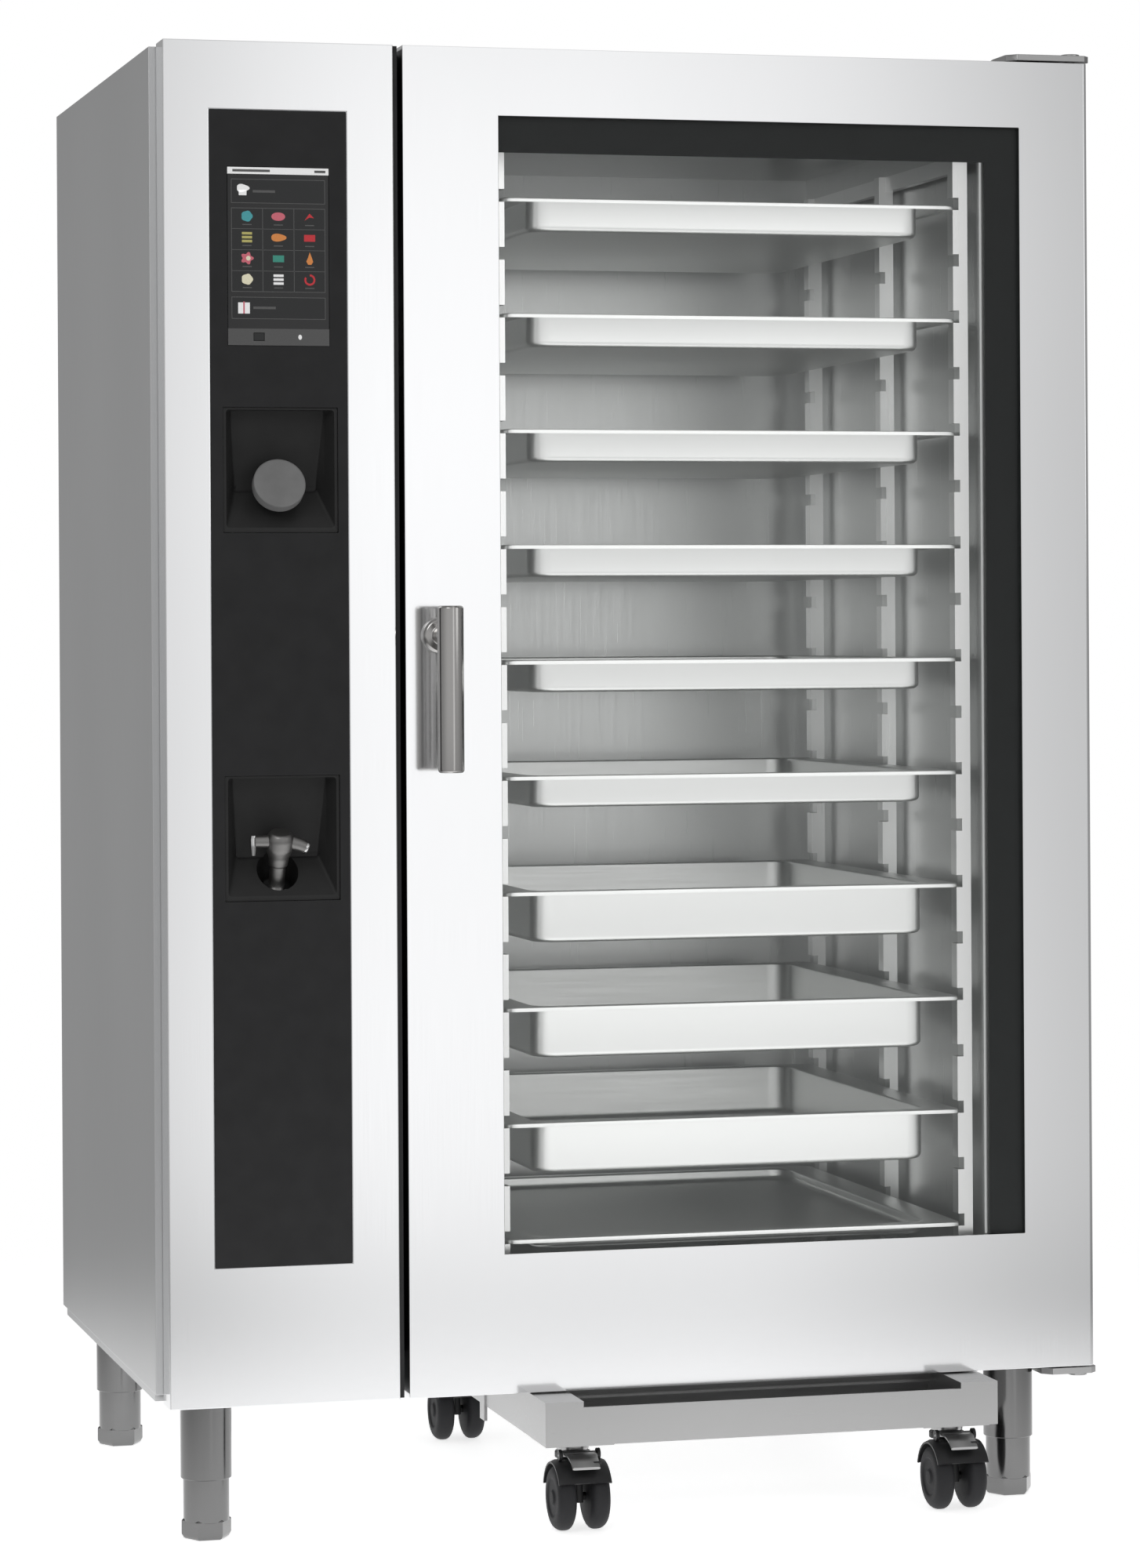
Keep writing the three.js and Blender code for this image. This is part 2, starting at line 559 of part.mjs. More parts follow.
function trolleyBase() {
  const { halfWidth: w, front, rear, bottom, barTop, cheekTop } = TROLLEY;
  const [sheet, cheek, lip] = [3, 48, 26];
  const outline = [
    [-w, bottom], [w, bottom], [w, cheekTop], [w - cheek, cheekTop], [w - cheek, barTop],
    [cheek - w, barTop], [cheek - w, cheekTop], [-w, cheekTop],
  ];
  const bay = [CABINET_FRONT + 4, 700];
  const channels = [-1, 1].map((side) => {
    const x = (distance) => side * (w - distance);
    return prism([
      [x(0), bottom], [x(lip), bottom], [x(lip), bottom + sheet], [x(sheet), bottom + sheet],
      [x(sheet), cheekTop], [x(0), cheekTop],
    ], 'y', front, rear);
  });
  const uprights = [-1, 1].map((side) => box(
    ...[side * w, side * (w - sheet)].sort((a, b) => a - b), bay[0], rear, cheekTop - 1, DECK_Z + 1));
  const deckHalf = 312;
  const deck = cut(
    box(-deckHalf, deckHalf, ...bay, DECK_Z, DECK_Z + 3),
    box(-deckHalf + 20, deckHalf - 20, bay[0] + 6, bay[1] - 6, DECK_Z + 1.5, DECK_Z + 4),
  );
  const ties = [[200, 240], [rear - lip, rear]].map(
    ([y0, y1]) => box(-w, w, y0, y1, bottom, bottom + sheet));
  // Closed trough behind the front plate's notch, between two end blocks open at the rear.
  const troughRear = CABINET_FRONT - 6;
  const notch = w - cheek;
  const trough = [
    box(-w, w, front, troughRear, bottom, bottom + sheet),
    box(-notch - sheet, notch + sheet, troughRear - sheet, troughRear, bottom, cheekTop),
    box(-notch - 1, notch + 1, troughRear - 12, troughRear - 1, 141.5, 144),
    ...[[-w, -notch], [notch, w]].map(([x0, x1]) => box(
      x0, x1, front, troughRear, cheekTop - sheet, cheekTop)),
    ...[[-notch - sheet, -notch], [notch, notch + sheet]].map(([x0, x1]) => box(
      x0, x1, front, troughRear, bottom, cheekTop)),
  ];
  const plates = CASTOR_X.flatMap((x) => CASTOR_Y.map((y) => box(
    x - 43, x + 43, y - 38, y + 38, CASTOR.top + GAP, bottom + 1)));
  const stop = box(-w - 2, -w + 2, 238, 262, 88, bottom + 20);
  return join(
    prism(outline, 'y', front, front + sheet), deck, stop,
    ...channels, ...uprights, ...ties, ...trough, ...plates);
}

const panZ = (level) => TOP_LEVEL_Z - level * LEVEL_PITCH;

// One side of the rack: three notched uprights between a bottom and a top rail. The notches repeat
// at half the pan pitch.
function rackSide(side) {
  const x = (distance) => side * distance;
  const { inner, outer, notchDepth, notchHeight, bottom, top } = RACK;
  const outline = [[x(outer), bottom], [x(outer), top], [x(inner), top]];
  for (let step = 0; step < LEVELS * 2 - 1; step += 1) {
    const z = TOP_LEVEL_Z - PAN.lip - GAP - step * (LEVEL_PITCH / 2);
    outline.push([x(inner), z + notchHeight], [x(inner + notchDepth), z + notchHeight]);
    outline.push([x(inner + notchDepth), z], [x(inner), z]);
  }
  outline.push([x(inner), bottom]);
  const posts = RACK_POSTS_Y.map((y) => prism(outline, 'y', y, y + RACK_POST_DEPTH));
  const [x0, x1] = [x(inner + notchDepth + 1), x(outer)].sort((a, b) => a - b);
  const ends = [RACK_POSTS_Y[0], RACK_POSTS_Y[2] + RACK_POST_DEPTH];
  return join(
    ...posts, box(x0, x1, ...ends, bottom, bottom + 20), box(x0, x1, ...ends, top - 20, top));
}

// A tray with a wide flange and a down-turned lip; its rim is at z = 0.
function pan(depth) {
  const { rimHalf, bodyHalf, front, rear, flange, lip, wall } = PAN;
  const [bodyFront, bodyRear] = [front + flange, rear - flange];
  return cut(
    join(
      cut(
        box(-rimHalf, rimHalf, front, rear, -lip, 0),
        box(wall - rimHalf, rimHalf - wall, front + wall, rear - wall, -lip - 1, -wall),
      ),
      box(-bodyHalf, bodyHalf, bodyFront, bodyRear, -depth, -wall / 2),
    ),
    box(wall - bodyHalf, bodyHalf - wall, bodyFront + wall, bodyRear - wall, wall - depth, 1),
  );
}

// ---- Castors, drawn around the swivel axis with the wheels trailing towards the front ---------------

const AXLE = { y: -CASTOR.trail, z: CASTOR.wheelRadius };
const PEDAL_PIVOT = { y: -30, z: 92 };

// Swivel body: king-pin boss, web between the wheels, mudguard and the pedal's lugs.
function castorSwivel(braked) {
  const guard = [];
  const [inner, outer, steps] = [42.5, 46, 9];
  const [from, to] = [THREE.MathUtils.degToRad(15), THREE.MathUtils.degToRad(150)];
  const onArc = (radius, step) => {
    const angle = from + ((to - from) * step) / steps;
    return [AXLE.y + radius * Math.cos(angle), AXLE.z + radius * Math.sin(angle)];
  };
  for (let step = 0; step <= steps; step += 1) guard.push(onArc(outer, step));
  for (let step = steps; step >= 0; step -= 1) guard.push(onArc(inner, step));
  const web = prism([[-36, 30], [-12, 30], [10, 60], [14, 88], [-40, 82]], 'x', -4, 4);
  const lugs = braked ? [-1, 1].map((side) => box(
    ...[side * 22, side * 26].sort((a, b) => a - b), PEDAL_PIVOT.y - 5, PEDAL_PIVOT.y + 5, 83, 97)) : [];
  const body = join(
    prism(guard, 'x', -33, 33), web, rod([0, 0, 84], [0, 0, CASTOR.top], 20, 20), ...lugs);
  return cut(
    body,
    rod([-10, AXLE.y, AXLE.z], [10, AXLE.y, AXLE.z], 5.5, 16),
    rod([-30, PEDAL_PIVOT.y, PEDAL_PIVOT.z], [30, PEDAL_PIVOT.y, PEDAL_PIVOT.z], 2.5, 12),
  );
}

// Both wheels on their common axle.
function castorWheels() {
  const { wheelRadius: r, halfWidth: w } = CASTOR;
  const tyreWidth = 25;
  const inside = tyreWidth - w;
  const half = [
    [0, -w], [r - 8, -w], [r - 1, 6 - w], [r, 12 - w], [r - 1, inside - 6], [r - 8, inside],
    [5, inside],
  ];
  const mirrored = half.map(([radius, x]) => [radius, -x]).reverse();
  return turned([...half, ...mirrored], { x: 0, y: AXLE.y, z: AXLE.z }, X_AXIS, 20);
}

// Foot brake: a barrel on a thin pin, and a bent tread plate in front of it.
function brakePedal() {
  const { y, z } = PEDAL_PIVOT;
  const tread = prism([
    [y, z - 3], [y, z + 3], [y - 24, z - 1], [y - 36, z - 8], [y - 35, z - 13], [y - 32, z - 12],
    [y - 23, z - 5],
  ], 'x', -20, 20);
  return join(
    tread, rod([-21.5, y, z], [21.5, y, z], 4, 16), rod([-26, y, z], [26, y, z], 2, 12));
}

// ---- Assembly --------------------------------------------------------------------------------------

add('left_side_panel', sidePanel(SIDE_OUTER, 1, SIDE_FRONT), SIDE_STEEL);
add('right_side_panel', sidePanel(RIGHT_SIDE, -1, CABINET_FRONT + SHEET + GAP), SIDE_STEEL);
add('top_panel', topPanel(), SIDE_STEEL);
add('rear_panel', rearPanel(), SIDE_STEEL);
add('base_frame', baseFrame(), SIDE_STEEL);
add('cavity_liner', cavityLiner(), CAVITY_STEEL);
add('door_gasket', doorGasket(), RUBBER);
add('fan_baffle', fanBaffle(), CAVITY_STEEL);
add('fan_motor', fanMotor(), MOTOR_PAINT);
add('fan_wheel', fanWheel(), CAVITY_STEEL);
add('heating_element', heatingElement(), SIDE_STEEL);
add('steam_boiler', steamBoiler(), CAVITY_STEEL);
add('steam_vent', steamVent(), STEEL);

add('column_fascia', columnFascia(), STEEL);
add('column_edge_strip', columnEdgeStrip(), BLACK_PLASTIC);
add('control_panel', controlPanel(), BLACK_PLASTIC);
add('touch_screen', touchScreen(), SCREEN_GLASS);
add('knob_recess', knobRecess(), BLACK_PLASTIC);
add('encoder_shaft', encoderShaft(), CHROME);
add('selector_knob', selectorKnob(), GREY_PLASTIC);
add('shower_recess', showerRecess(), BLACK_PLASTIC);
add('hand_shower', handShower(), CHROME);

add('hinge_bracket_top', hingeBracketTop(), TROLLEY_STEEL);
add('hinge_bracket_bottom', hingeBracketBottom(), TROLLEY_STEEL);
add('door_frame', doorFrame(), STEEL);
add('door_outer_glass', doorOuterGlass(), GLASS);
add('door_inner_frame', doorInnerFrame(), CAVITY_STEEL);
add('door_inner_glass', doorInnerGlass(), GLASS);
add('door_handle', doorHandle(), CHROME);

LEG_Y.forEach((y, row) => LEG_X.forEach((x, side) => {
  const corner = new THREE.Group();
  corner.position.set(x, y, 0);
  const place = `${row ? 'rear' : 'front'}_${side ? 'right' : 'left'}`;
  add(`leg_${place}`, legTube(), STEEL, corner);
  add(`foot_${place}`, foot(), STEEL, corner);
  oven.add(corner);
}));

const trolley = new THREE.Group();
trolley.position.set(TROLLEY_X, 0, 0);
add('trolley_base', trolleyBase(), TROLLEY_STEEL, trolley);
add('rack_left_side', rackSide(-1), CAVITY_STEEL, trolley);
add('rack_right_side', rackSide(1), CAVITY_STEEL, trolley);
PAN_DEPTHS.forEach((depth, level) => {
  const tray = meshOf(`pan_${level + 1}`, pan(depth), PAN_STEEL);
  tray.position.z = panZ(level);
  trolley.add(tray);
});

CASTOR_Y.forEach((y, row) => CASTOR_X.forEach((x, side) => {
  const castor = new THREE.Group();
  castor.position.set(x, y, 0);
  const place = `${row ? 'rear' : 'front'}_${side ? 'right' : 'left'}`;
  const braked = row === 0;
  add(`castor_swivel_${place}`, castorSwivel(braked), BLACK_PLASTIC, castor);
  add(`castor_wheels_${place}`, castorWheels(), TYRE, castor);
  if (braked) add(`brake_pedal_${place}`, brakePedal(), TROLLEY_STEEL, castor);
  trolley.add(castor);
}));
oven.add(trolley);

oven.position.set(-(BOX_MIN.x + BOX_MAX.x) / 2, -(BOX_MIN.y + BOX_MAX.y) / 2, 0);

const part = new THREE.Group();
part.add(oven);
export default part;
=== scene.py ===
import json
import math

import bmesh
import bpy
from mathutils import Matrix, Vector

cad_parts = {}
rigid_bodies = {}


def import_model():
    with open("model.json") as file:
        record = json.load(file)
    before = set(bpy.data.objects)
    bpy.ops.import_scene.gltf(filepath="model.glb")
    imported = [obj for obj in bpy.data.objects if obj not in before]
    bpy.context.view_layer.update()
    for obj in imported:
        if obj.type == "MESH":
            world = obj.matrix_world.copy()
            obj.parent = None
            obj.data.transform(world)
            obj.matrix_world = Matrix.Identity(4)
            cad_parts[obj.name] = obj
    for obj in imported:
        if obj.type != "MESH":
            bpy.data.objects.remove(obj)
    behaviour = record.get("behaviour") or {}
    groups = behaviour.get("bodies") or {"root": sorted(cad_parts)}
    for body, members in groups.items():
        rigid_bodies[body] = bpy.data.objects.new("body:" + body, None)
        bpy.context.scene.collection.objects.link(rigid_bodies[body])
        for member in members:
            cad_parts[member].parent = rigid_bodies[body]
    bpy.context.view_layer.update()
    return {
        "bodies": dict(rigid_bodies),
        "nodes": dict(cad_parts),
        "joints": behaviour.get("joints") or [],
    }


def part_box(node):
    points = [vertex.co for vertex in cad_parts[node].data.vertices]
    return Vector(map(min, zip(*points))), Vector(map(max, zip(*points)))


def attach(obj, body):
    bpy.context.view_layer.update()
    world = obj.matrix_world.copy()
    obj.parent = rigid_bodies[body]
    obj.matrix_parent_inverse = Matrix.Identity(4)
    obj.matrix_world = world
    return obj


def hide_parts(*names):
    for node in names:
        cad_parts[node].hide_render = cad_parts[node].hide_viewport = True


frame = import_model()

# Roll-in combi steamer oven, in metres, +Z up, front towards -Y.

MM = 0.001
FILLET_STEPS = 4
SHARP_ANGLE = 35
ON_AXIS, NEAR_AXIS = 1e-7, 1e-6
PLACES = [f"{row}_{side}" for row in ("front", "rear") for side in ("left", "right")]
JOINTS = {joint["name"]: joint for joint in frame["joints"]}
X, Y, Z = Vector((1, 0, 0)), Vector((0, 1, 0)), Vector((0, 0, 1))

# ---- Meshes -------------------------------------------------------------------------------------


def around(sides):
    """The angles of evenly spaced points round a circle."""
    return [math.tau * side / sides for side in range(sides)]


def fillet(points, radius):
    """An open outline whose corners, apart from its two ends, become short curves."""
    most = 0.49
    done = [Vector(points[0])]
    for before, corner, after in zip(points, points[1:], points[2:]):
        before, corner, after = Vector(before), Vector(corner), Vector(after)
        reach = min(radius, (before - corner).length * most, (after - corner).length * most)
        start = corner + (before - corner).normalized() * reach
        end = corner + (after - corner).normalized() * reach
        for step in range(FILLET_STEPS + 1):
            t = step / FILLET_STEPS
            done.append(start * (1 - t) ** 2 + corner * 2 * t * (1 - t) + end * t * t)
    done.append(Vector(points[-1]))
    return done


def facing(axis, origin):
    """Places something drawn along +Z so that it runs along the axis from the origin."""
    return Matrix.Translation(origin) @ Vector(axis).to_track_quat("Z", "Y").to_matrix().to_4x4()


class Shape:
    """Vertices and faces collected from several forms, with a material number for each face."""

    def __init__(self):
        self.points, self.faces, self.looks = [], [], []

    def add(self, points, faces, look=0):
        first = len(self.points)
        self.points += [tuple(point) for point in points]
        self.faces += [[first + corner for corner in face] for face in faces]
        self.looks += [look] * len(faces)
        return self

    def loft(self, rings, look=0, close=False):
        """Quads through rings of equal length; the two ends are capped unless the rings close up."""
        count = len(rings[0])
        points = [point for ring in rings for point in ring]
        faces = []
        for row in range(len(rings) if close else len(rings) - 1):
            low, high = row * count, (row + 1) % len(rings) * count
            for side in range(count):
                after = (side + 1) % count
                faces.append([low + side, low + after, high + after, high + side])
        if not close:
            last = (len(rings) - 1) * count
            faces += [list(range(count))[::-1], [last + side for side in range(count)]]
        return self.add(points, faces, look)

    def turned(self, profile, place, sides=64, look=0, radius=1.5 * MM):
        """A closed turned form: (radius, height) pairs from one end of its axis to the other."""
        line = [(max(r, NEAR_AXIS), h) for r, h in fillet(profile, radius) if r > ON_AXIS]
        rings = [
            [place @ Vector((r * math.cos(a), r * math.sin(a), h)) for a in around(sides)]
            for r, h in line]
        return self.loft(rings, look)

    def ring(self, profile, place, sides):
        """A hollow turned form: a closed outline of (radius, height) pairs."""
        rings = [
            [place @ Vector((r * math.cos(a), r * math.sin(a), h)) for r, h in profile]
            for a in around(sides)]
        return self.loft(rings, close=True)

    def rod(self, radius, start, end, place, sides):
        """A plain cylinder between two heights along the place's Z."""
        rings = [
            [place @ Vector((radius * math.cos(a), radius * math.sin(a), h)) for a in around(sides)]
            for h in (start, end)]
        return self.loft(rings)

    def prism(self, outline, place, depth, look=0, bevel=0.0):
        """A flat outline in the place's X and Y, given a thickness along its Z, with bevelled rims."""
        centre = sum((Vector(point) for point in outline), Vector((0, 0))) / len(outline)
        arms = [Vector(point) - centre for point in outline]
        shrunk = [centre + arm * (1 - bevel / max(arm.length, NEAR_AXIS)) for arm in arms]
        layers = [(shrunk, 0), (outline, bevel), (outline, depth - bevel), (shrunk, depth)]
        if not bevel:
            layers = [(outline, 0), (outline, depth)]
        return self.loft([[place @ Vector((u, v, h)) for u, v in flat] for flat, h in layers], look)

    def tube(self, line, radii, look=0):
        """A round bar along a line of points, with a radius at each."""
        sides = 24
        line = [Vector(point) for point in line]
        rings = []
        for index, (point, radius) in enumerate(zip(line, radii)):
            ahead = line[min(index + 1, len(line) - 1)] - line[max(index - 1, 0)]
            turn = ahead.to_track_quat("Z", "Y").to_matrix()
            rings.append([
                point + turn @ Vector((math.cos(a), math.sin(a), 0)) * radius for a in around(sides)])
        return self.loft(rings, look)


def facing_out(mesh):
    """Turns every closed part's faces outwards."""
    work = bmesh.new()
    work.from_mesh(mesh)
    bmesh.ops.recalc_face_normals(work, faces=work.faces)
    work.to_mesh(mesh)
    work.free()


def piece(name, shape, looks, body, replaces=(), sharp=SHARP_ANGLE):
    """Makes an object from a shape and puts it on its body."""
    mesh = bpy.data.meshes.new(name)
    mesh.from_pydata(shape.points, [], shape.faces)
    looks = looks if isinstance(looks, list) else [looks]
    for look in looks:
        mesh.materials.append(look)
    mesh.polygons.foreach_set("material_index", shape.looks)
    mesh.validate()
    made = bpy.data.objects.new(name, mesh)
    bpy.context.scene.collection.objects.link(made)
    facing_out(mesh)
    mesh.shade_smooth()
    mesh.set_sharp_from_angle(angle=math.radians(sharp))
    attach(made, body)
    if replaces:
        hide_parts(*replaces)


def rounded_rectangle(x0, x1, y0, y1, radius, steps=6):
    """The outline of a rectangle with round corners, anticlockwise."""
    corners = [(x1, y1, 0), (x0, y1, 90), (x0, y0, 180), (x1, y0, 270)]
    outline = []
    for x, y, start in corners:
        centre = Vector((x - math.copysign(radius, x - (x0 + x1) / 2),
                         y - math.copysign(radius, y - (y0 + y1) / 2)))
        for step in range(steps + 1):
            angle = math.radians(start + 90 * step / steps)
            outline.append(centre + Vector((math.cos(angle), math.sin(angle))) * radius)
    return outline


def combine(made, tool, operation):
    """Cuts, joins or intersects a piece with a tool, which is used up."""
    step = made.modifiers.new(operation, "BOOLEAN")
    step.object, step.operation, step.solver = tool, operation, "EXACT"
    result = bpy.data.meshes.new_from_object(
        made.evaluated_get(bpy.context.evaluated_depsgraph_get()))
    made.modifiers.clear()
    made.data = result
    bpy.data.objects.remove(tool)


def tool_object(shape):
    """A shape as an object of its own, for combine to use up."""
    mesh = bpy.data.meshes.new("tool")
    mesh.from_pydata(shape.points, [], shape.faces)
    facing_out(mesh)
    made = bpy.data.objects.new("tool", mesh)
    bpy.context.scene.collection.objects.link(made)
    return made


# ---- Materials ----------------------------------------------------------------------------------


class Look:
    """A material in the making: a Principled shader and the texture nodes that feed it."""

    def __init__(self, name, color, roughness, metallic=0.0, **sockets):
        self.material = bpy.data.materials.new(name)
        self.material.use_nodes = True
        self.nodes = self.material.node_tree.nodes
        self.links = self.material.node_tree.links
        self.shader = self.nodes["Principled BSDF"]
        self.shader.inputs["Base Color"].default_value = (*color, 1)
        self.shader.inputs["Roughness"].default_value = roughness
        self.shader.inputs["Metallic"].default_value = metallic
        for socket, value in sockets.items():
            self.shader.inputs[socket.replace("_", " ")].default_value = value
        self.color, self.roughness = color, roughness

    def noise(self, scale, detail=3.0):
        """Noise in the piece's own metres, with its own scale along each axis."""
        place = self.nodes.new("ShaderNodeTexCoord")
        stretch = self.nodes.new("ShaderNodeMapping")
        stretch.inputs["Scale"].default_value = scale
        noise = self.nodes.new("ShaderNodeTexNoise")
        noise.inputs["Scale"].default_value = 1.0
        noise.inputs["Detail"].default_value = detail
        self.links.new(place.outputs["Object"], stretch.inputs["Vector"])
        self.links.new(stretch.outputs["Vector"], noise.inputs["Vector"])
        return noise.outputs["Fac"]

    def spread(self, source, low, high):
        """Maps noise, which stays near its middle, to a range."""
        noise_low, noise_high = 0.3, 0.7
        ranged = self.nodes.new("ShaderNodeMapRange")
        ranged.inputs["From Min"].default_value = noise_low
        ranged.inputs["From Max"].default_value = noise_high
        ranged.inputs["To Min"].default_value = low
        ranged.inputs["To Max"].default_value = high
        self.links.new(source, ranged.inputs["Value"])
        return ranged.outputs["Result"]

    def vary_color(self, source, amount):
        """Moves the base colour up and down by a share of itself."""
        mix = self.nodes.new("ShaderNodeMix")
        mix.data_type = "RGBA"
        mix.inputs["A"].default_value = (*(c * (1 - amount) for c in self.color), 1)
        mix.inputs["B"].default_value = (*(min(c * (1 + amount), 1) for c in self.color), 1)
        self.links.new(self.spread(source, 0, 1), mix.inputs["Factor"])
        self.links.new(mix.outputs["Result"], self.shader.inputs["Base Color"])
        return self

    def vary_roughness(self, source, amount):
        """Moves the roughness up and down by a share of itself."""
        low, high = self.roughness * (1 - amount), min(self.roughness * (1 + amount), 1)
        self.links.new(self.spread(source, low, high), self.shader.inputs["Roughness"])
        return self

    def bump(self, source, depth):
        """Lets the source stand up from the surface, by a depth in metres."""
        strength = 0.5
        bump = self.nodes.new("ShaderNodeBump")
        bump.inputs["Strength"].default_value = strength
        bump.inputs["Distance"].default_value = depth
        self.links.new(source, bump.inputs["Height"])
        self.links.new(bump.outputs["Normal"], self.shader.inputs["Normal"])
        return self


def brushed(name, color, roughness, along, mottle=0.03, depth=0.000006):
    """Brushed stainless: long fine lines along one axis, and a slow change of tone over the sheet."""
    look = Look(name, color, roughness, metallic=1.0)
    across, lengthwise, scatter = 700.0, 9.0, 0.09
    cloud = (2.2, 2.2, 1.4)
    lines = look.noise([lengthwise if axis == along else across for axis in "xyz"], detail=4)
    tone = look.noise(cloud, detail=1)
    return look.vary_color(tone, mottle).vary_roughness(lines, scatter).bump(lines, depth).material


def moulded(name, color, roughness, grain=1800.0, depth=0.00004, mottle=0.10, **sockets):
    """Moulded plastic or rubber: a fine even texture."""
    cloud, scatter = 30, 0.12
    look = Look(name, color, roughness, **sockets)
    fine = look.noise((grain,) * 3, detail=2)
    look.vary_color(look.noise((cloud,) * 3), mottle)
    return look.vary_roughness(fine, scatter).bump(fine, depth).material


def lit(name, color, glow):
    """A patch of the display: its own light, with a faint pixel texture."""
    roughness, pixels, flicker = 0.25, 900, 0.06
    look = Look(name, color, roughness, Emission_Color=(*color, 1), Emission_Strength=glow)
    return look.vary_color(look.noise((pixels,) * 3, detail=0), flicker).material


def pane(name, color, solid):
    """Clear sheet glass that lets light straight through, with faint wiping marks."""
    roughness, scatter, wiping = 0.04, 0.5, (6, 6, 2.5)
    look = Look(name, color, roughness, Alpha=solid, IOR=1.5)
    return look.vary_roughness(look.noise(wiping, detail=5), scatter).material


FRONT_STEEL = brushed("front_steel", (0.92, 0.925, 0.935), 0.11, "z")
# The casing steel is a darker copy of the front steel. Part of the difference is a rougher finish, and
# part is painted shade for the side panels, which face away from the light.
SHADED_CASING_STEEL = brushed("casing_steel", (0.68, 0.685, 0.69), 0.34, "z")
CAVITY_STEEL = brushed("cavity_steel", (0.66, 0.67, 0.665), 0.30, "z", mottle=0.06)
RACK_STEEL = brushed("rack_steel", (0.88, 0.885, 0.88), 0.30, "z", mottle=0.06)
PAN_STEEL = brushed("pan_steel", (0.92, 0.93, 0.92), 0.36, "x", mottle=0.02)
TROLLEY_STEEL = brushed("trolley_steel", (0.47, 0.47, 0.47), 0.30, "x", mottle=0.05)
LEG_STEEL = brushed("leg_steel", (0.21, 0.21, 0.21), 0.18, "z", mottle=0.05)
GRIP_STEEL = brushed("grip_steel", (0.55, 0.54, 0.53), 0.17, "z")
TAP_METAL = brushed("tap_metal", (0.30, 0.295, 0.29), 0.42, "x")
CHROME = brushed("chrome", (0.80, 0.80, 0.80), 0.10, "x", mottle=0.02, depth=0.000002)
PANEL_BLACK = moulded("panel_black", (0.027, 0.027, 0.028), 0.45, Specular_IOR_Level=0.22)
RECESS_BLACK = moulded("recess_black", (0.026, 0.026, 0.026), 0.50, Specular_IOR_Level=0.35)
KNOB_GREY = moulded("knob_grey", (0.24, 0.24, 0.24), 0.55, grain=1300, depth=0.00008)
CASTOR_BLACK = moulded("castor_black", (0.020, 0.020, 0.021), 0.40, Specular_IOR_Level=0.35)
TYRE = moulded("tyre_grey", (0.022, 0.022, 0.024), 0.60, grain=900, Specular_IOR_Level=0.25)
GASKET = moulded("gasket_rubber", (0.020, 0.020, 0.020), 0.60)
MOTOR_PAINT = moulded("motor_paint", (0.07, 0.08, 0.09), 0.45, mottle=0.15)
PRINT_BLACK = moulded("print_black", (0.031, 0.033, 0.033), 0.40, mottle=0.05,
                      Specular_IOR_Level=0.2)
SCREEN_COVER = moulded("screen_cover", (0.007, 0.007, 0.008), 0.12, depth=0.000005)
GLASS = pane("door_glass", (0.03, 0.035, 0.034), 0.06)
INNER_GLASS = pane("inner_glass", (0.80, 0.83, 0.82), 0.05)

# ---- CAD nodes that keep their shape ------------------------------------------------------------

# Each node's look, and the radius of its edges in millimetres.
KEPT = {
    "column_fascia": (FRONT_STEEL, 1.2), "door_frame": (FRONT_STEEL, 1.2),
    "steam_vent": (FRONT_STEEL, 0.4),
    "left_side_panel": (SHADED_CASING_STEEL, 0.8), "right_side_panel": (SHADED_CASING_STEEL, 0.8),
    "top_panel": (SHADED_CASING_STEEL, 0.8), "rear_panel": (SHADED_CASING_STEEL, 0.5),
    "base_frame": (SHADED_CASING_STEEL, 0.8),
    "cavity_liner": (CAVITY_STEEL, 0.6), "fan_baffle": (CAVITY_STEEL, 0.5),
    "fan_wheel": (CAVITY_STEEL, 0.5), "steam_boiler": (CAVITY_STEEL, 0.5),
    "door_inner_frame": (CAVITY_STEEL, 0.6),
    "rack_left_side": (RACK_STEEL, 0.6), "rack_right_side": (RACK_STEEL, 0.6),
    "trolley_base": (TROLLEY_STEEL, 0.8),
    "hinge_bracket_top": (TROLLEY_STEEL, 0.8), "hinge_bracket_bottom": (TROLLEY_STEEL, 0.8),
    "control_panel": (PANEL_BLACK, 0.8), "column_edge_strip": (PANEL_BLACK, 0.5),
    "touch_screen": (SCREEN_COVER, 0.6),
    "encoder_shaft": (CHROME, 0.3), "fan_motor": (MOTOR_PAINT, 1.0),
    "door_gasket": (GASKET, 1.5),
    "door_outer_glass": (GLASS, 0.4), "door_inner_glass": (INNER_GLASS, 0.4),
}


def dress(node, look, edge):
    """A kept node's material, and the fine radius that a folded or moulded edge has."""
    made = frame["nodes"][node]
    for slot in made.material_slots:
        slot.link = "OBJECT"
        slot.material = look
    weld_reach = 0.01 * MM
    weld = made.modifiers.new("weld", "WELD")
    weld.merge_threshold = weld_reach
    bevel = made.modifiers.new("edge", "BEVEL")
    bevel.width = edge * MM
    bevel.segments = 2
    bevel.limit_method = "ANGLE"
    bevel.angle_limit = math.radians(SHARP_ANGLE)


for node, (look, edge) in KEPT.items():
    dress(node, look, edge)

# ---- Pans ---------------------------------------------------------------------------------------


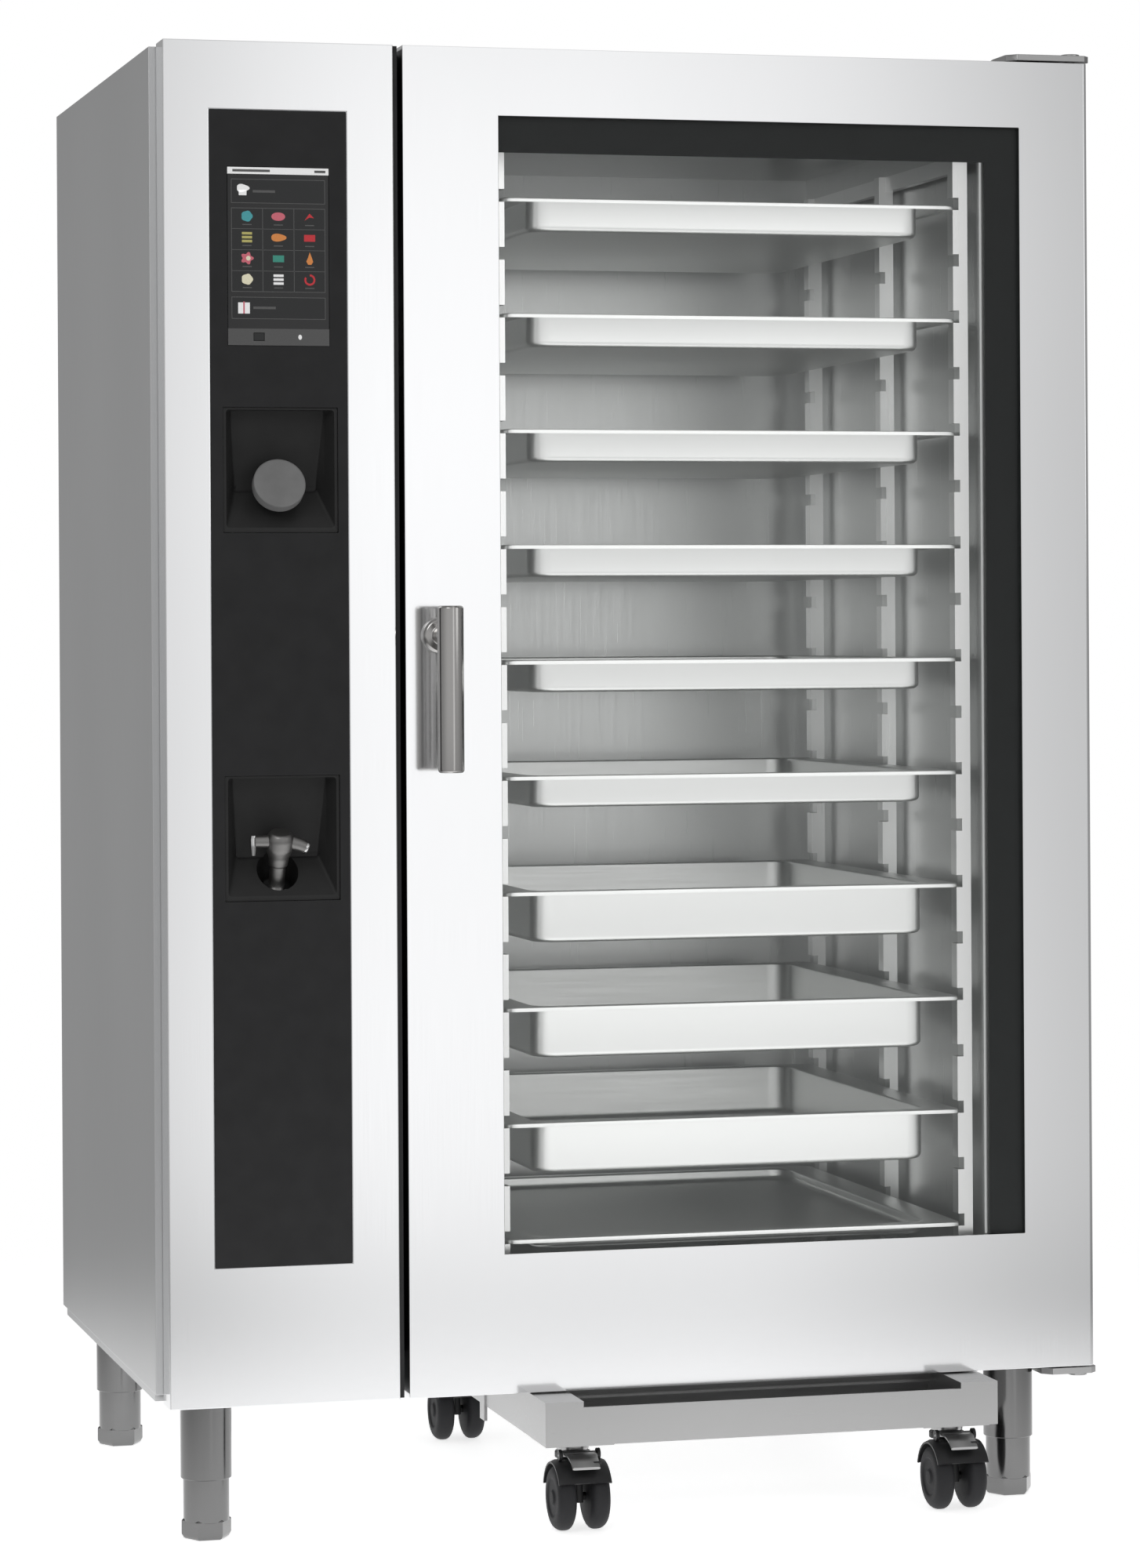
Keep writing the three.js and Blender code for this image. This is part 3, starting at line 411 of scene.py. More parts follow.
def pan(node):
    """A pressed pan: wide flange with a turned-down lip, round corners and a filleted floor."""
    lo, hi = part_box(node)
    depth = hi.z - lo.z
    wall, lip, edge_turn, under = 1.2 * MM, 5 * MM, 2 * MM, 1 * MM
    floor_round = min(7 * MM, depth * 0.4)
    flange_x, flange_y = 39.5 * MM, 20 * MM
    corner, corner_growth, arc_steps = 14 * MM, 0.9, 4

    def section(share, extra, drop):
        """A level loop: share of the way across the flange, then extra metres further in."""
        ix, iy = flange_x * share + extra, flange_y * share + extra
        radius = corner * (1 + corner_growth * share)
        flat = rounded_rectangle(lo.x + ix, hi.x - ix, lo.y + iy, hi.y - iy, radius)
        return [Vector((u, v, hi.z - drop)) for u, v in flat]

    arc = [math.radians(90 * step / arc_steps) for step in range(arc_steps + 1)]
    rings = []
    for a in arc:  # the inside of the floor's fillet, from the floor up
        rings.append(section(1, wall + floor_round * (1 - math.sin(a)),
                             depth - wall - floor_round * (1 - math.cos(a))))
    for a in arc:  # over the inner edge of the flange
        rings.append(section(1, wall - edge_turn * (1 - math.cos(a)),
                             edge_turn * (1 - math.sin(a))))
    for a in arc:  # over the outer edge and down the lip
        rings.append(section(0, edge_turn * (1 - math.sin(a)), edge_turn * (1 - math.cos(a))))
    rings.append(section(0, 0, lip))
    rings.append(section(0, wall, lip))
    rings.append(section(0, wall, wall + under))
    rings.append(section(1, -under, wall))
    rings.append(section(1, 0, wall + edge_turn))
    for a in arc:  # the outside of the floor's fillet
        rings.append(section(1, floor_round * (1 - math.cos(a)),
                             depth - floor_round * (1 - math.sin(a))))
    piece(f"gn_{node}", Shape().loft(rings), PAN_STEEL, "cabinet", [node], sharp=50)


for level in range(1, 11):
    pan(f"pan_{level}")

# ---- Legs and feet ------------------------------------------------------------------------------


def leg_and_foot(place):
    """A turned leg tube with its top plate, and the foot that screws into it."""
    tube_lo, tube_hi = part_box(f"leg_{place}")
    foot_lo, foot_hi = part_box(f"foot_{place}")
    centre = (foot_lo + foot_hi) / 2
    outer, bore = (tube_hi.x - tube_lo.x) / 2, 28.6 * MM
    stand = Matrix.Translation((centre.x, centre.y, 0))
    z0, z1 = tube_lo.z, tube_hi.z
    mouth, lead, rim, sides = 1 * MM, 0.6 * MM, 0.8 * MM, 72
    head, plate_thick, plate_edge = 5 * MM, 4.8 * MM, 0.6 * MM
    tube = Shape().ring([
        (bore, z0 + mouth), (bore + lead, z0), (outer - rim, z0), (outer, z0 + rim),
        (outer, z1 - head), (outer, z1), (bore, z1), (bore, z1 - head)], stand, sides)
    plate = rounded_rectangle(-24 * MM, 24 * MM, 5 * MM, 91 * MM, 6 * MM)
    tube.prism(plate, stand @ Matrix.Translation((0, 0, z1 - head)), plate_thick, bevel=plate_edge)
    piece(f"leg_tube_{place}", tube, LEG_STEEL, "cabinet", [f"leg_{place}"])

    hex_radius, hex_top, stem, step = 30.5 * MM, 24 * MM, 28 * MM, 2 * MM

    def hexagon(radius, height):
        """Six flats whose corners are slightly round, as on a turned sole."""
        ring, half_side, easing = [], math.pi / 6, 0.06
        for corner in around(6):
            for lean in (-easing, 0.0, easing):
                angle = corner + lean
                flat = math.cos(half_side) / math.cos(half_side - abs(lean))
                ring.append(Vector((math.cos(angle), math.sin(angle))) * radius * flat)
        return [Vector((centre.x + u, centre.y + v, height)) for u, v in ring]

    sole = Shape().loft([
        hexagon(hex_radius - 5 * MM, 0), hexagon(hex_radius - 3 * MM, 1 * MM),
        hexagon(hex_radius, 6 * MM), hexagon(hex_radius, hex_top - step),
        hexagon(hex_radius - step, hex_top)])
    stem_base = hex_top - 3 * MM
    sole.turned([(0, stem_base), (stem, stem_base), (stem, foot_hi.z), (0, foot_hi.z)],
                stand, sides)
    piece(f"foot_sole_{place}", sole, LEG_STEEL, f"foot_{place}", [f"foot_{place}"])


for place in PLACES:
    leg_and_foot(place)

# ---- Castors ------------------------------------------------------------------------------------


def castor(place):
    """Twin-wheel castor: rounded wheels, a hood over them, the swivel's bearing and a top plate."""
    swivel = JOINTS[f"castor_{place}_swivel"]["pos_m"]
    axle = Vector(JOINTS[f"castor_{place}_roll"]["pos_m"])
    radius, half = axle.z, 34 * MM
    inner_face, axle_hole = 9 * MM, 5.5 * MM
    wheels = Shape()
    for side in (-1, 1):
        place_of = facing(X * side, axle)
        wheels.turned([
            (0, inner_face), (radius - 8 * MM, inner_face), (radius, inner_face + 5 * MM),
            (radius, half - 8 * MM), (radius - 6 * MM, half - 1 * MM), (24 * MM, half - 1 * MM),
            (22 * MM, half - 3 * MM), (10 * MM, half - 3 * MM), (8 * MM, half - 0.5 * MM),
            (0, half - 0.5 * MM)], place_of, sides=72, radius=5 * MM)
    wheels.turned([(0, -12 * MM), (5 * MM, -12 * MM), (5 * MM, 12 * MM), (0, 12 * MM)],
                  facing(X, axle), sides=24, look=1)
    piece(f"wheels_{place}", wheels, [TYRE, LEG_STEEL], f"castor_{place}_wheels",
          [f"castor_wheels_{place}"])

    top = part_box(f"castor_swivel_{place}")[1].z
    body = Shape()
    from_angle, to_angle, steps = math.radians(15), math.radians(150), 18
    hood_in, hood_out, hood_half = 42.5 * MM, 46 * MM, 33 * MM
    droop, rim, flare = 1.5 * MM, 1 * MM, 0.2 * MM
    shoulder = hood_half - 6 * MM
    rings = []
    for step in range(steps + 1):
        angle = from_angle + (to_angle - from_angle) * step / steps
        ray = Vector((0, math.cos(angle), math.sin(angle)))
        rings.append([
            axle + ray * (hood_in - droop) - X * hood_half,
            axle + ray * (hood_out - droop - rim) - X * (hood_half + flare),
            axle + ray * hood_out - X * shoulder,
            axle + ray * hood_out + X * shoulder,
            axle + ray * (hood_out - droop - rim) + X * (hood_half + flare),
            axle + ray * (hood_in - droop) + X * hood_half,
            axle + ray * hood_in + X * shoulder,
            axle + ray * hood_in - X * shoulder])
    body.loft(rings)
    base = Vector((swivel[0], swivel[1], 0))
    web = [(-36 * MM, 34 * MM), (-14 * MM, 30 * MM), (10 * MM, 60 * MM), (14 * MM, 86 * MM),
           (-30 * MM, 82 * MM)]
    web_half, past_web = 4 * MM, 10 * MM
    upright = Matrix(((0, 0, 1, -web_half), (1, 0, 0, 0), (0, 1, 0, 0), (0, 0, 0, 1)))
    plate = tool_object(
        Shape().prism(web, Matrix.Translation(base) @ upright, 2 * web_half, bevel=1 * MM))
    hole = [(0, -past_web), (axle_hole, -past_web), (axle_hole, past_web), (0, past_web)]
    combine(plate, tool_object(Shape().turned(hole, facing(X, axle), 32, radius=0)), "DIFFERENCE")
    body.add([vertex.co for vertex in plate.data.vertices],
             [list(face.vertices) for face in plate.data.polygons])
    bpy.data.objects.remove(plate)
    stand = Matrix.Translation(base)
    body.turned([(0, 84 * MM), (22 * MM, 84 * MM), (22 * MM, 92 * MM), (0, 92 * MM)], stand)
    body.turned([(0, 90 * MM), (17 * MM, 90 * MM), (20 * MM, 95 * MM), (20 * MM, top), (0, top)],
                stand, look=1)
    braked = f"pedal_{place}" in frame["bodies"]
    if braked:
        pivot = Vector(JOINTS[f"pedal_{place}_press"]["pos_m"])
        pin_hole, lug, inside, outside = 2.5 * MM, 7 * MM, 22 * MM, 26 * MM
        for side in (-1, 1):
            body.ring([(pin_hole, inside), (lug, inside), (lug, outside), (pin_hole, outside)],
                      facing(X * side, pivot), sides=32)
    piece(f"castor_hood_{place}", body, [CASTOR_BLACK, TROLLEY_STEEL], f"castor_{place}",
          [f"castor_swivel_{place}"])

    if not braked:
        return
    pedal = Shape()
    line = fillet([(0, 1), (-14, 2), (-25, -2), (-37, -11)], 8)
    width, taper, rounding = 20 * MM, 0.25 * MM, 2 * MM
    edge, crown, underside = 0.8, 1.6, 1.4
    rings = []
    for index, spot in enumerate(line):
        half_width = width - index * taper
        flat = half_width - rounding
        middle = pivot + Y * spot.x * MM + Z * spot.y * MM
        rings.append([
            middle - X * half_width - Z * edge * MM, middle - X * half_width + Z * edge * MM,
            middle - X * flat + Z * crown * MM, middle + X * flat + Z * crown * MM,
            middle + X * half_width + Z * edge * MM, middle + X * half_width - Z * edge * MM,
            middle + X * flat - Z * underside * MM, middle - X * flat - Z * underside * MM])
    pedal.loft(rings)
    for pin, reach, sides in ((4 * MM, 21.5 * MM, 32), (2 * MM, 26 * MM, 24)):
        pedal.turned([(0, -reach), (pin, -reach), (pin, reach), (0, reach)],
                     facing(X, pivot), sides)
    tab = rounded_rectangle(-5 * MM, 5 * MM, -9 * MM, 3 * MM, 2 * MM)
    pedal.prism(tab, facing(Z, pivot + Vector((15 * MM, -29 * MM, -8 * MM))), 4 * MM, look=1,
                bevel=0.8 * MM)
    piece(f"pedal_{place}_tread", pedal, [TROLLEY_STEEL, CASTOR_BLACK], f"pedal_{place}",
          [f"brake_pedal_{place}"])


for place in PLACES:
    castor(place)

# ---- Door handle --------------------------------------------------------------------------------


def door_handle():
    """Round grip bar with chamfered ends, on a hub and a round rose, with its spindle and cam."""
    lo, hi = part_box("door_handle")
    x, _, hub_z = JOINTS["handle_turn"]["pos_m"]
    grip_radius = 16 * MM
    y = lo.y + grip_radius
    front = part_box("door_frame")[0].y
    shape = Shape()
    shape.turned([(0, lo.z), (grip_radius - 2.5 * MM, lo.z), (grip_radius, lo.z + 2.5 * MM),
                  (grip_radius, hi.z - 2.5 * MM), (grip_radius - 2.5 * MM, hi.z), (0, hi.z)],
                 Matrix.Translation((x, y, 0)), sides=96, radius=1 * MM)
    hub = facing(-Y, (x, front, hub_z))
    shape.turned([(0, 0.3 * MM), (22 * MM, 0.3 * MM), (22 * MM, 6 * MM), (19 * MM, 10 * MM),
                  (11 * MM, 11 * MM), (11 * MM, front - y), (0, front - y)], hub, sides=72)
    shape.turned([(0, -44 * MM), (7 * MM, -44 * MM), (7 * MM, 1 * MM), (0, 1 * MM)], hub, sides=32)
    cam = [(-9, 9), (9, 9), (9, -9), (-3, -26), (-9, -24)]
    shape.prism([(u * MM, v * MM) for u, v in cam], hub @ Matrix.Translation((0, 0, -42 * MM)),
                8 * MM, bevel=0.8 * MM)
    piece("handle_grip", shape, GRIP_STEEL, "handle", ["door_handle"])


door_handle()

# ---- Recesses in the control panel --------------------------------------------------------------


RECESS = {"wall": 2.5 * MM, "height": 146 * MM, "depth": 40 * MM, "lip_depth": 24 * MM,
          "floor_rise": 52 * MM, "draft": 0.43, "inside_corner": 4 * MM, "outside_corner": 1.5 * MM}


def recess_rings(node, grow, start):
    """Level by level into a recess: its sides draw together, its floor rises, its back leans."""
    lo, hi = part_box(node)
    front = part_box("control_panel")[0].y
    wall = RECESS["wall"]
    x0, x1, z1 = lo.x + wall, hi.x - wall, hi.z - wall
    z0 = z1 - RECESS["height"]
    z_deep = z0 + RECESS["floor_rise"]
    corner = RECESS["outside_corner" if grow else "inside_corner"]
    back, floor_share, corner_share, steps = 5 * MM, 0.93, 0.45, 22
    rings = []
    for step in range(steps + 1):
        y = start + (RECESS["depth"] - start) * step / steps
        inside = max(y, 0)
        slope = max(0.0, inside - RECESS["lip_depth"]) / (RECESS["depth"] - RECESS["lip_depth"])
        top = z1 - (z1 - z_deep - back) * slope + grow
        bottom = z0 + RECESS["floor_rise"] * min(inside / RECESS["depth"], floor_share) - grow
        left = x0 + inside * RECESS["draft"] - grow
        right = x1 - inside * RECESS["draft"] + grow
        radius = min(corner, (top - bottom) * corner_share)
        flat = rounded_rectangle(left, right, bottom, top, radius, steps=4)
        rings.append([Vector((u, front + y + (grow if y > 0 else 0), v)) for u, v in flat])
    return rings


def recess(node, name, hole_axis, hole_at, hole_radius, cup=None):
    """A moulded pocket with a slim raised rim, a hole for what stands in it, and perhaps a cup."""
    rim, set_back, cut_ahead = 0.9 * MM, 0.0001, 40 * MM
    outer = tool_object(Shape().loft(recess_rings(node, RECESS["wall"], set_back)))
    if cup:
        combine(outer, tool_object(cup), "UNION")
    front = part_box("control_panel")[0].y
    hollow = recess_rings(node, 0, -rim)
    first = [Vector((point.x, front - cut_ahead, point.z)) for point in hollow[0]]
    combine(outer, tool_object(Shape().loft([first, *hollow])), "DIFFERENCE")
    hole = Shape().rod(hole_radius, -80 * MM, 60 * MM, facing(hole_axis, hole_at), 64)
    combine(outer, tool_object(hole), "DIFFERENCE")
    mesh = outer.data
    mesh.materials.clear()
    mesh.materials.append(RECESS_BLACK)
    mesh.shade_smooth()
    mesh.set_sharp_from_angle(angle=math.radians(40))
    outer.name = name
    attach(outer, "cabinet")
    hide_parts(node)
    return outer


# ---- Knob and hand shower -----------------------------------------------------------------------


def selector_knob():
    """Turned knob: a skirt, a full round body and a very slightly crowned face with a soft rim."""
    face, axis = Vector(JOINTS["knob_turn"]["pos_m"]), JOINTS["knob_turn"]["axis"]
    recess("knob_recess", "knob_pocket", axis, face, 5 * MM)
    radius, length, bore, bore_end = 32 * MM, 30 * MM, 5 * MM, -8 * MM
    shape = Shape().turned([
        (0, bore_end), (bore, bore_end), (bore, -length), (22 * MM, -length), (24 * MM, -22 * MM),
        (radius - 1 * MM, -17 * MM), (radius, -15 * MM), (radius, -1.5 * MM),
        (radius - 2 * MM, -0.4 * MM), (18 * MM, 0), (0, 0)],
        facing(axis, face), sides=96, radius=1.2 * MM)
    piece("knob_cap", shape, KNOB_GREY, "knob", ["selector_knob"])


def hand_shower():
    """Spray valve: stem and collar in the cup, bulb-shaped body, lever on the left, nozzle right."""
    lo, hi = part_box("hand_shower")
    axis = Vector(JOINTS["shower_pull"]["axis"])
    stem_radius, stem_length, lever_reach = 9.5 * MM, 170 * MM, 38 * MM
    origin = Vector((
        lo.x + lever_reach,
        hi.y - stem_length * -axis.y - stem_radius * axis.z,
        lo.z + stem_length * axis.z + stem_radius * -axis.y))
    place = facing(axis, origin)
    cup, cup_base, cup_top = 28 * MM, -32 * MM, 12 * MM
    cup_ring = Shape().turned([(0, cup_base), (cup, cup_base), (cup, cup_top), (0, cup_top)], place)
    pocket = recess("shower_recess", "shower_pocket", axis, origin, 11.5 * MM, cup_ring)
    bore = Shape().rod(25.5 * MM, -29 * MM, 60 * MM, place, 72)
    combine(pocket, tool_object(bore), "DIFFERENCE")
    shape = Shape()
    shape.turned([(0, -stem_length), (stem_radius, -stem_length), (stem_radius, 15 * MM),
                  (0, 15 * MM)], place)
    collar, collar_base, collar_top = 17 * MM, -28.7 * MM, -18 * MM
    shape.turned([(0, collar_base), (collar, collar_base), (collar, collar_top), (0, collar_top)],
                 place, look=1)
    shape.turned([(0, 8 * MM), (11.5 * MM, 8 * MM), (12.5 * MM, 20 * MM), (16.5 * MM, 32 * MM),
                  (16.5 * MM, 46 * MM), (13 * MM, 53 * MM), (0, 54 * MM)], place, radius=3 * MM)
    head = origin + axis * 41 * MM
    shape.tube([head, head - X * 18 * MM, head - X * 31 * MM], [8 * MM, 7.5 * MM, 7 * MM])
    lever_top = head + Vector((-33 * MM, 0, 7 * MM))
    shape.tube([lever_top - Z * drop * MM for drop in (0, 5, 15, 24)],
               [3.6 * MM, 4.4 * MM, 3.8 * MM, 2.6 * MM], look=1)
    nozzle = [head, head + Vector((15, 0, -2)) * MM, head + Vector((25, 0, -5)) * MM,
              head + Vector((34, 0, -9)) * MM]
    shape.tube(nozzle, [9.5 * MM, 8.8 * MM, 8.2 * MM, 7.4 * MM])
    tip = (nozzle[3] - nozzle[2]).normalized()
    shape.turned([(0, -4 * MM), (7.8 * MM, -4 * MM), (7.8 * MM, 0), (0, 0)],
                 facing(tip, nozzle[3]), sides=48, look=1)
    piece("shower_valve", shape, [TAP_METAL, CHROME], "shower", ["hand_shower"])


selector_knob()
hand_shower()

# ---- Heating element ----------------------------------------------------------------------------


def heating_ring():
    """Tubular heating element: one ring round the fan and its two tails through the liner."""
    lo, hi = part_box("heating_element")
    tube, tail, tail_offset, margin = 5.6 * MM, 5.2 * MM, 18 * MM, 6 * MM
    centre = Vector(JOINTS["fan_spin"]["pos_m"])
    centre.x = hi.x - margin
    radius = (hi.y - lo.y) / 2 - margin
    sides, steps = 20, 120
    rings = []
    for angle in around(steps):
        ray = Vector((0, math.cos(angle), math.sin(angle)))
        rings.append([centre + ray * (radius + tube * math.cos(a)) + X * tube * math.sin(a)
                      for a in around(sides)])
    shape = Shape().loft(rings, close=True)
    for offset in (-tail_offset, tail_offset):
        end = centre + Vector((0, offset, radius))
        shape.tube([(lo.x, end.y, end.z), end], [tail, tail])
    piece("heater_ring", shape, SHADED_CASING_STEEL, "cabinet", ["heating_element"])


heating_ring()

# ---- Printed band on the door glass -------------------------------------------------------------


def printed_band():
    """Black enamel behind the outer glass, along its top and its hinge side."""
    lo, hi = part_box("door_outer_glass")
    hidden, band, gap, thick = 8 * MM, 44 * MM, 0.1 * MM, 0.3 * MM
    inside_top, inside_right = hi.z - hidden - band, hi.x - hidden - band
    y = hi.y + gap
    corner = [(lo.x, hi.z), (hi.x, hi.z), (hi.x, lo.z), (inside_right, lo.z),
              (inside_right, inside_top), (lo.x, inside_top)]
    points = [Vector((u, y + back, v)) for back in (0, thick) for u, v in corner]
    count = len(corner)
    faces = [[0, 1, 4, 5], [1, 2, 3, 4], [count + c for c in (5, 4, 1, 0)],
             [count + c for c in (4, 3, 2, 1)]]
    faces += [[side, (side + 1) % count, (side + 1) % count + count, side + count]
              for side in range(count)]
    piece("glass_print", Shape().add(points, faces), PRINT_BLACK, "door")


printed_band()

# ---- Display ------------------------------------------------------------------------------------

GREY, WHITE, FOOTER, TEAL, PINK, RED, OLIVE, ORANGE, GREEN, CREAM, BOX = range(11)
DISPLAY_LOOKS = [
    lit("ui_grey", (0.10, 0.10, 0.10), 0.10), lit("ui_white", (0.80, 0.80, 0.80), 0.35),
    lit("ui_footer", (0.09, 0.09, 0.09), 0.10), lit("ui_teal", (0.05, 0.30, 0.33), 0.30),
    lit("ui_pink", (0.55, 0.12, 0.16), 0.30), lit("ui_red", (0.50, 0.02, 0.03), 0.30),
    lit("ui_olive", (0.42, 0.38, 0.12), 0.30), lit("ui_orange", (0.62, 0.22, 0.05), 0.30),
    lit("ui_green", (0.03, 0.24, 0.18), 0.30), lit("ui_cream", (0.72, 0.68, 0.50), 0.30),
    lit("ui_box", (0.012, 0.013, 0.014), 0.02)]


def display():
    """What the touch screen shows: a bar, two boxed rows, a grid of twelve pictures and a footer."""
    lo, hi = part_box("touch_screen")
    width, height = hi.x - lo.x, hi.z - lo.z
    layer_step = 0.05 * MM
    shape = Shape()

    def at(u, v, layer):
        """A place on the glass: shares across and down, and a layer in front of it."""
        return Vector((lo.x + u * width, lo.y - layer_step * layer, hi.z - v * height))

    def patch(outline, look, layer=2):
        """A flat shape on the glass, from shares of its width and height."""
        front = [at(u, v, layer + 1) for u, v in outline]
        back = [at(u, v, 0) for u, v in outline]
        shape.loft([back, front], look)

    def bar(u0, u1, v0, v1, look, layer=2):
        patch([(u0, v0), (u1, v0), (u1, v1), (u0, v1)], look, layer)

    def outline_box(u0, u1, v0, v1):
        side_line, level_line = 0.006, 0.006 * 0.6
        bar(u0, u1, v0, v1, GREY, 1)
        bar(u0 + side_line, u1 - side_line, v0 + level_line, v1 - level_line, BOX, 2)

    def blob(u, v, ru, rv, look, lobes=0, depth=0.0, layer=4):
        """A round patch, with lobes that make it a leaf, a loaf or a flower."""
        ring = []
        for angle in around(28):
            reach = 1 + depth * math.cos(lobes * angle)
            ring.append((u + ru * reach * math.cos(angle), v + rv * reach * math.sin(angle)))
        patch(ring, look, layer)

    bar(0, 1, 0, 0.038, WHITE)
    bar(0.86, 0.97, 0.012, 0.026, GREY, 3)
    bar(0.05, 0.42, 0.012, 0.026, GREY, 3)
    left, right = 0.036, 0.964
    outline_box(left, right, 0.066, 0.202)
    blob(0.15, 0.118, 0.062, 0.022, WHITE, 3, 0.12)
    bar(0.112, 0.188, 0.128, 0.158, WHITE, 4)
    bar(0.25, 0.47, 0.128, 0.142, GREY, 4)
    outline_box(left, right, 0.728, 0.852)
    bar(0.10, 0.215, 0.760, 0.822, WHITE, 4)
    bar(0.15, 0.165, 0.755, 0.822, PINK, 5)
    bar(0.25, 0.47, 0.782, 0.796, GREY, 4)
    bar(0, 1, 0.906, 1.0, FOOTER, 1)
    outline_box(0.25, 0.36, 0.928, 0.975)
    blob(0.71, 0.952, 0.018, 0.014, WHITE)

    grid_top, grid_bottom, line = 0.228, 0.700, 0.003
    outline_box(left, right, grid_top, grid_bottom)
    columns, rows = 3, 4
    for column in range(1, columns):
        u = left + (right - left) * column / columns
        bar(u - line, u + line, grid_top, grid_bottom, GREY, 3)
    for row in range(1, rows):
        v = grid_top + (grid_bottom - grid_top) * row / rows
        bar(left, right, v - line / 2, v + line / 2, GREY, 3)
    kinds = [
        (TEAL, "round"), (PINK, "leaf"), (RED, "stroke"), (OLIVE, "bars"), (ORANGE, "loaf"),
        (RED, "block"), (PINK, "flower"), (GREEN, "block"), (ORANGE, "drop"), (CREAM, "round"),
        (WHITE, "bars"), (RED, "swirl")]
    for number, (look, kind) in enumerate(kinds):
        u = left + (right - left) * (number % columns + 0.5) / columns
        v = grid_top + (grid_bottom - grid_top) * (number // columns + 0.40) / rows
        bar(u - 0.045, u + 0.045, v + 0.044, v + 0.050, GREY, 4)
        if kind == "round":
            blob(u, v, 0.055, 0.030, look, 5, 0.06)
        elif kind == "leaf":
            blob(u, v, 0.062, 0.026, look, 2, 0.10)
        elif kind == "flower":
            blob(u, v, 0.055, 0.030, look, 5, 0.22)
            blob(u + 0.012, v, 0.022, 0.013, CREAM, layer=5)
        elif kind == "loaf":
            blob(u, v, 0.075, 0.022, look, 3, 0.08)
        elif kind == "stroke":
            patch([(u - 0.05, v + 0.02), (u, v - 0.02), (u + 0.045, v + 0.006), (u, v + 0.002)],
                  look, 4)
        elif kind == "block":
            bar(u - 0.055, u + 0.055, v - 0.018, v + 0.020, look, 4)
        elif kind == "bars":
            for shift in (-0.022, 0.0, 0.022):
                bar(u - 0.05, u + 0.05, v + shift - 0.007, v + shift + 0.007, look, 4)
        elif kind == "drop":
            patch([(u, v - 0.038), (u + 0.022, v - 0.006), (u + 0.034, v + 0.016),
                   (u + 0.016, v + 0.032), (u - 0.016, v + 0.032), (u - 0.034, v + 0.014),
                   (u - 0.016, v - 0.008)], look, 4)
        elif kind == "swirl":
            steps, sweep, start = 14, 300, 90
            turn = [math.radians(sweep * step / steps - start) for step in range(steps + 1)]
            outer = [(u + 0.055 * math.cos(a), v + 0.032 * math.sin(a)) for a in turn]
            inner = [(u + 0.036 * math.cos(a), v + 0.021 * math.sin(a)) for a in turn]
            for here in range(steps):
                patch([outer[here], outer[here + 1], inner[here + 1], inner[here]], look, 4)
    piece("screen_display", shape, DISPLAY_LOOKS, "cabinet")


display()

# ---- Screws -------------------------------------------------------------------------------------


def rear_screws():
    """Pan-head screws with round sockets, in three upright rows on the rear panel."""
    lo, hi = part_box("rear_panel")
    inset, rows = 34 * MM, 7
    radius, height = 4 * MM, 2 * MM
    crown, socket, rim, socket_floor = radius * 0.72, radius * 0.45, height * 0.4, height * 0.35
    heights = [lo.z + inset + (hi.z - lo.z - 2 * inset) * row / (rows - 1) for row in range(rows)]
    spots = [Vector((x, hi.y, z)) for x in (lo.x + inset, 0.5 * (lo.x + hi.x), hi.x - inset)
             for z in heights]
    shape = Shape()
    for spot in spots:
        shape.turned([(0, 0), (radius, 0), (radius, rim), (crown, height), (socket, height),
                      (socket, socket_floor), (0, socket_floor)],
                     facing(Y, spot), sides=24, radius=0.5 * MM)
    piece("rear_screws", shape, LEG_STEEL, "cabinet")


rear_screws()

# ---- Stage, camera and light --------------------------------------------------------------------


def floor():
    """A pale floor that fades out, a few metres away, into the background."""
    radius, count = 9.0, 96
    ring = [(radius * math.cos(a), radius * math.sin(a), 0) for a in around(count)]
    mesh = bpy.data.meshes.new("floor")
    mesh.from_pydata(ring, [], [list(range(count))])
    made = bpy.data.objects.new("floor", mesh)
    bpy.context.scene.collection.objects.link(made)
    look = Look("floor_white", (0.93, 0.93, 0.93), 0.6, Emission_Color=(1, 1, 1, 1),
                Emission_Strength=0.72)
    place = look.nodes.new("ShaderNodeTexCoord")
    length = look.nodes.new("ShaderNodeVectorMath")
    length.operation = "LENGTH"
    fade = look.nodes.new("ShaderNodeMapRange")
    fade.interpolation_type = "SMOOTHSTEP"
    for socket, value in {"From Min": 0.6, "From Max": 2.4, "To Min": 1.0, "To Max": 0.0}.items():
        fade.inputs[socket].default_value = value
    look.links.new(place.outputs["Object"], length.inputs[0])
    look.links.new(length.outputs["Value"], fade.inputs["Value"])
    look.links.new(fade.outputs["Result"], look.shader.inputs["Alpha"])
    mesh.materials.append(look.material)


def camera():
    """The photo's viewpoint: 5.5 m from the front, to its left, at chest height, looking level."""
    yaw, roll = 0.2540, -0.0058
    eye = Vector((-1.5038, -5.7817, 1.0975))
    ahead = Vector((math.sin(yaw), math.cos(yaw), 0))
    right = Vector((math.cos(yaw), -math.sin(yaw), 0))
    tilted_right = math.cos(roll) * right + math.sin(roll) * Z
    tilted_up = -math.sin(roll) * right + math.cos(roll) * Z
    data = bpy.data.cameras.new("camera")
    data.lens, data.shift_x, data.shift_y = 104.53, 0.0056, -0.0986
    data.clip_start, data.clip_end = 0.1, 100
    made = bpy.data.objects.new("camera", data)
    turn = Matrix((tilted_right, tilted_up, -ahead)).transposed().to_4x4()
    made.matrix_world = Matrix.Translation(eye) @ turn
    bpy.context.scene.collection.objects.link(made)
    bpy.context.scene.camera = made


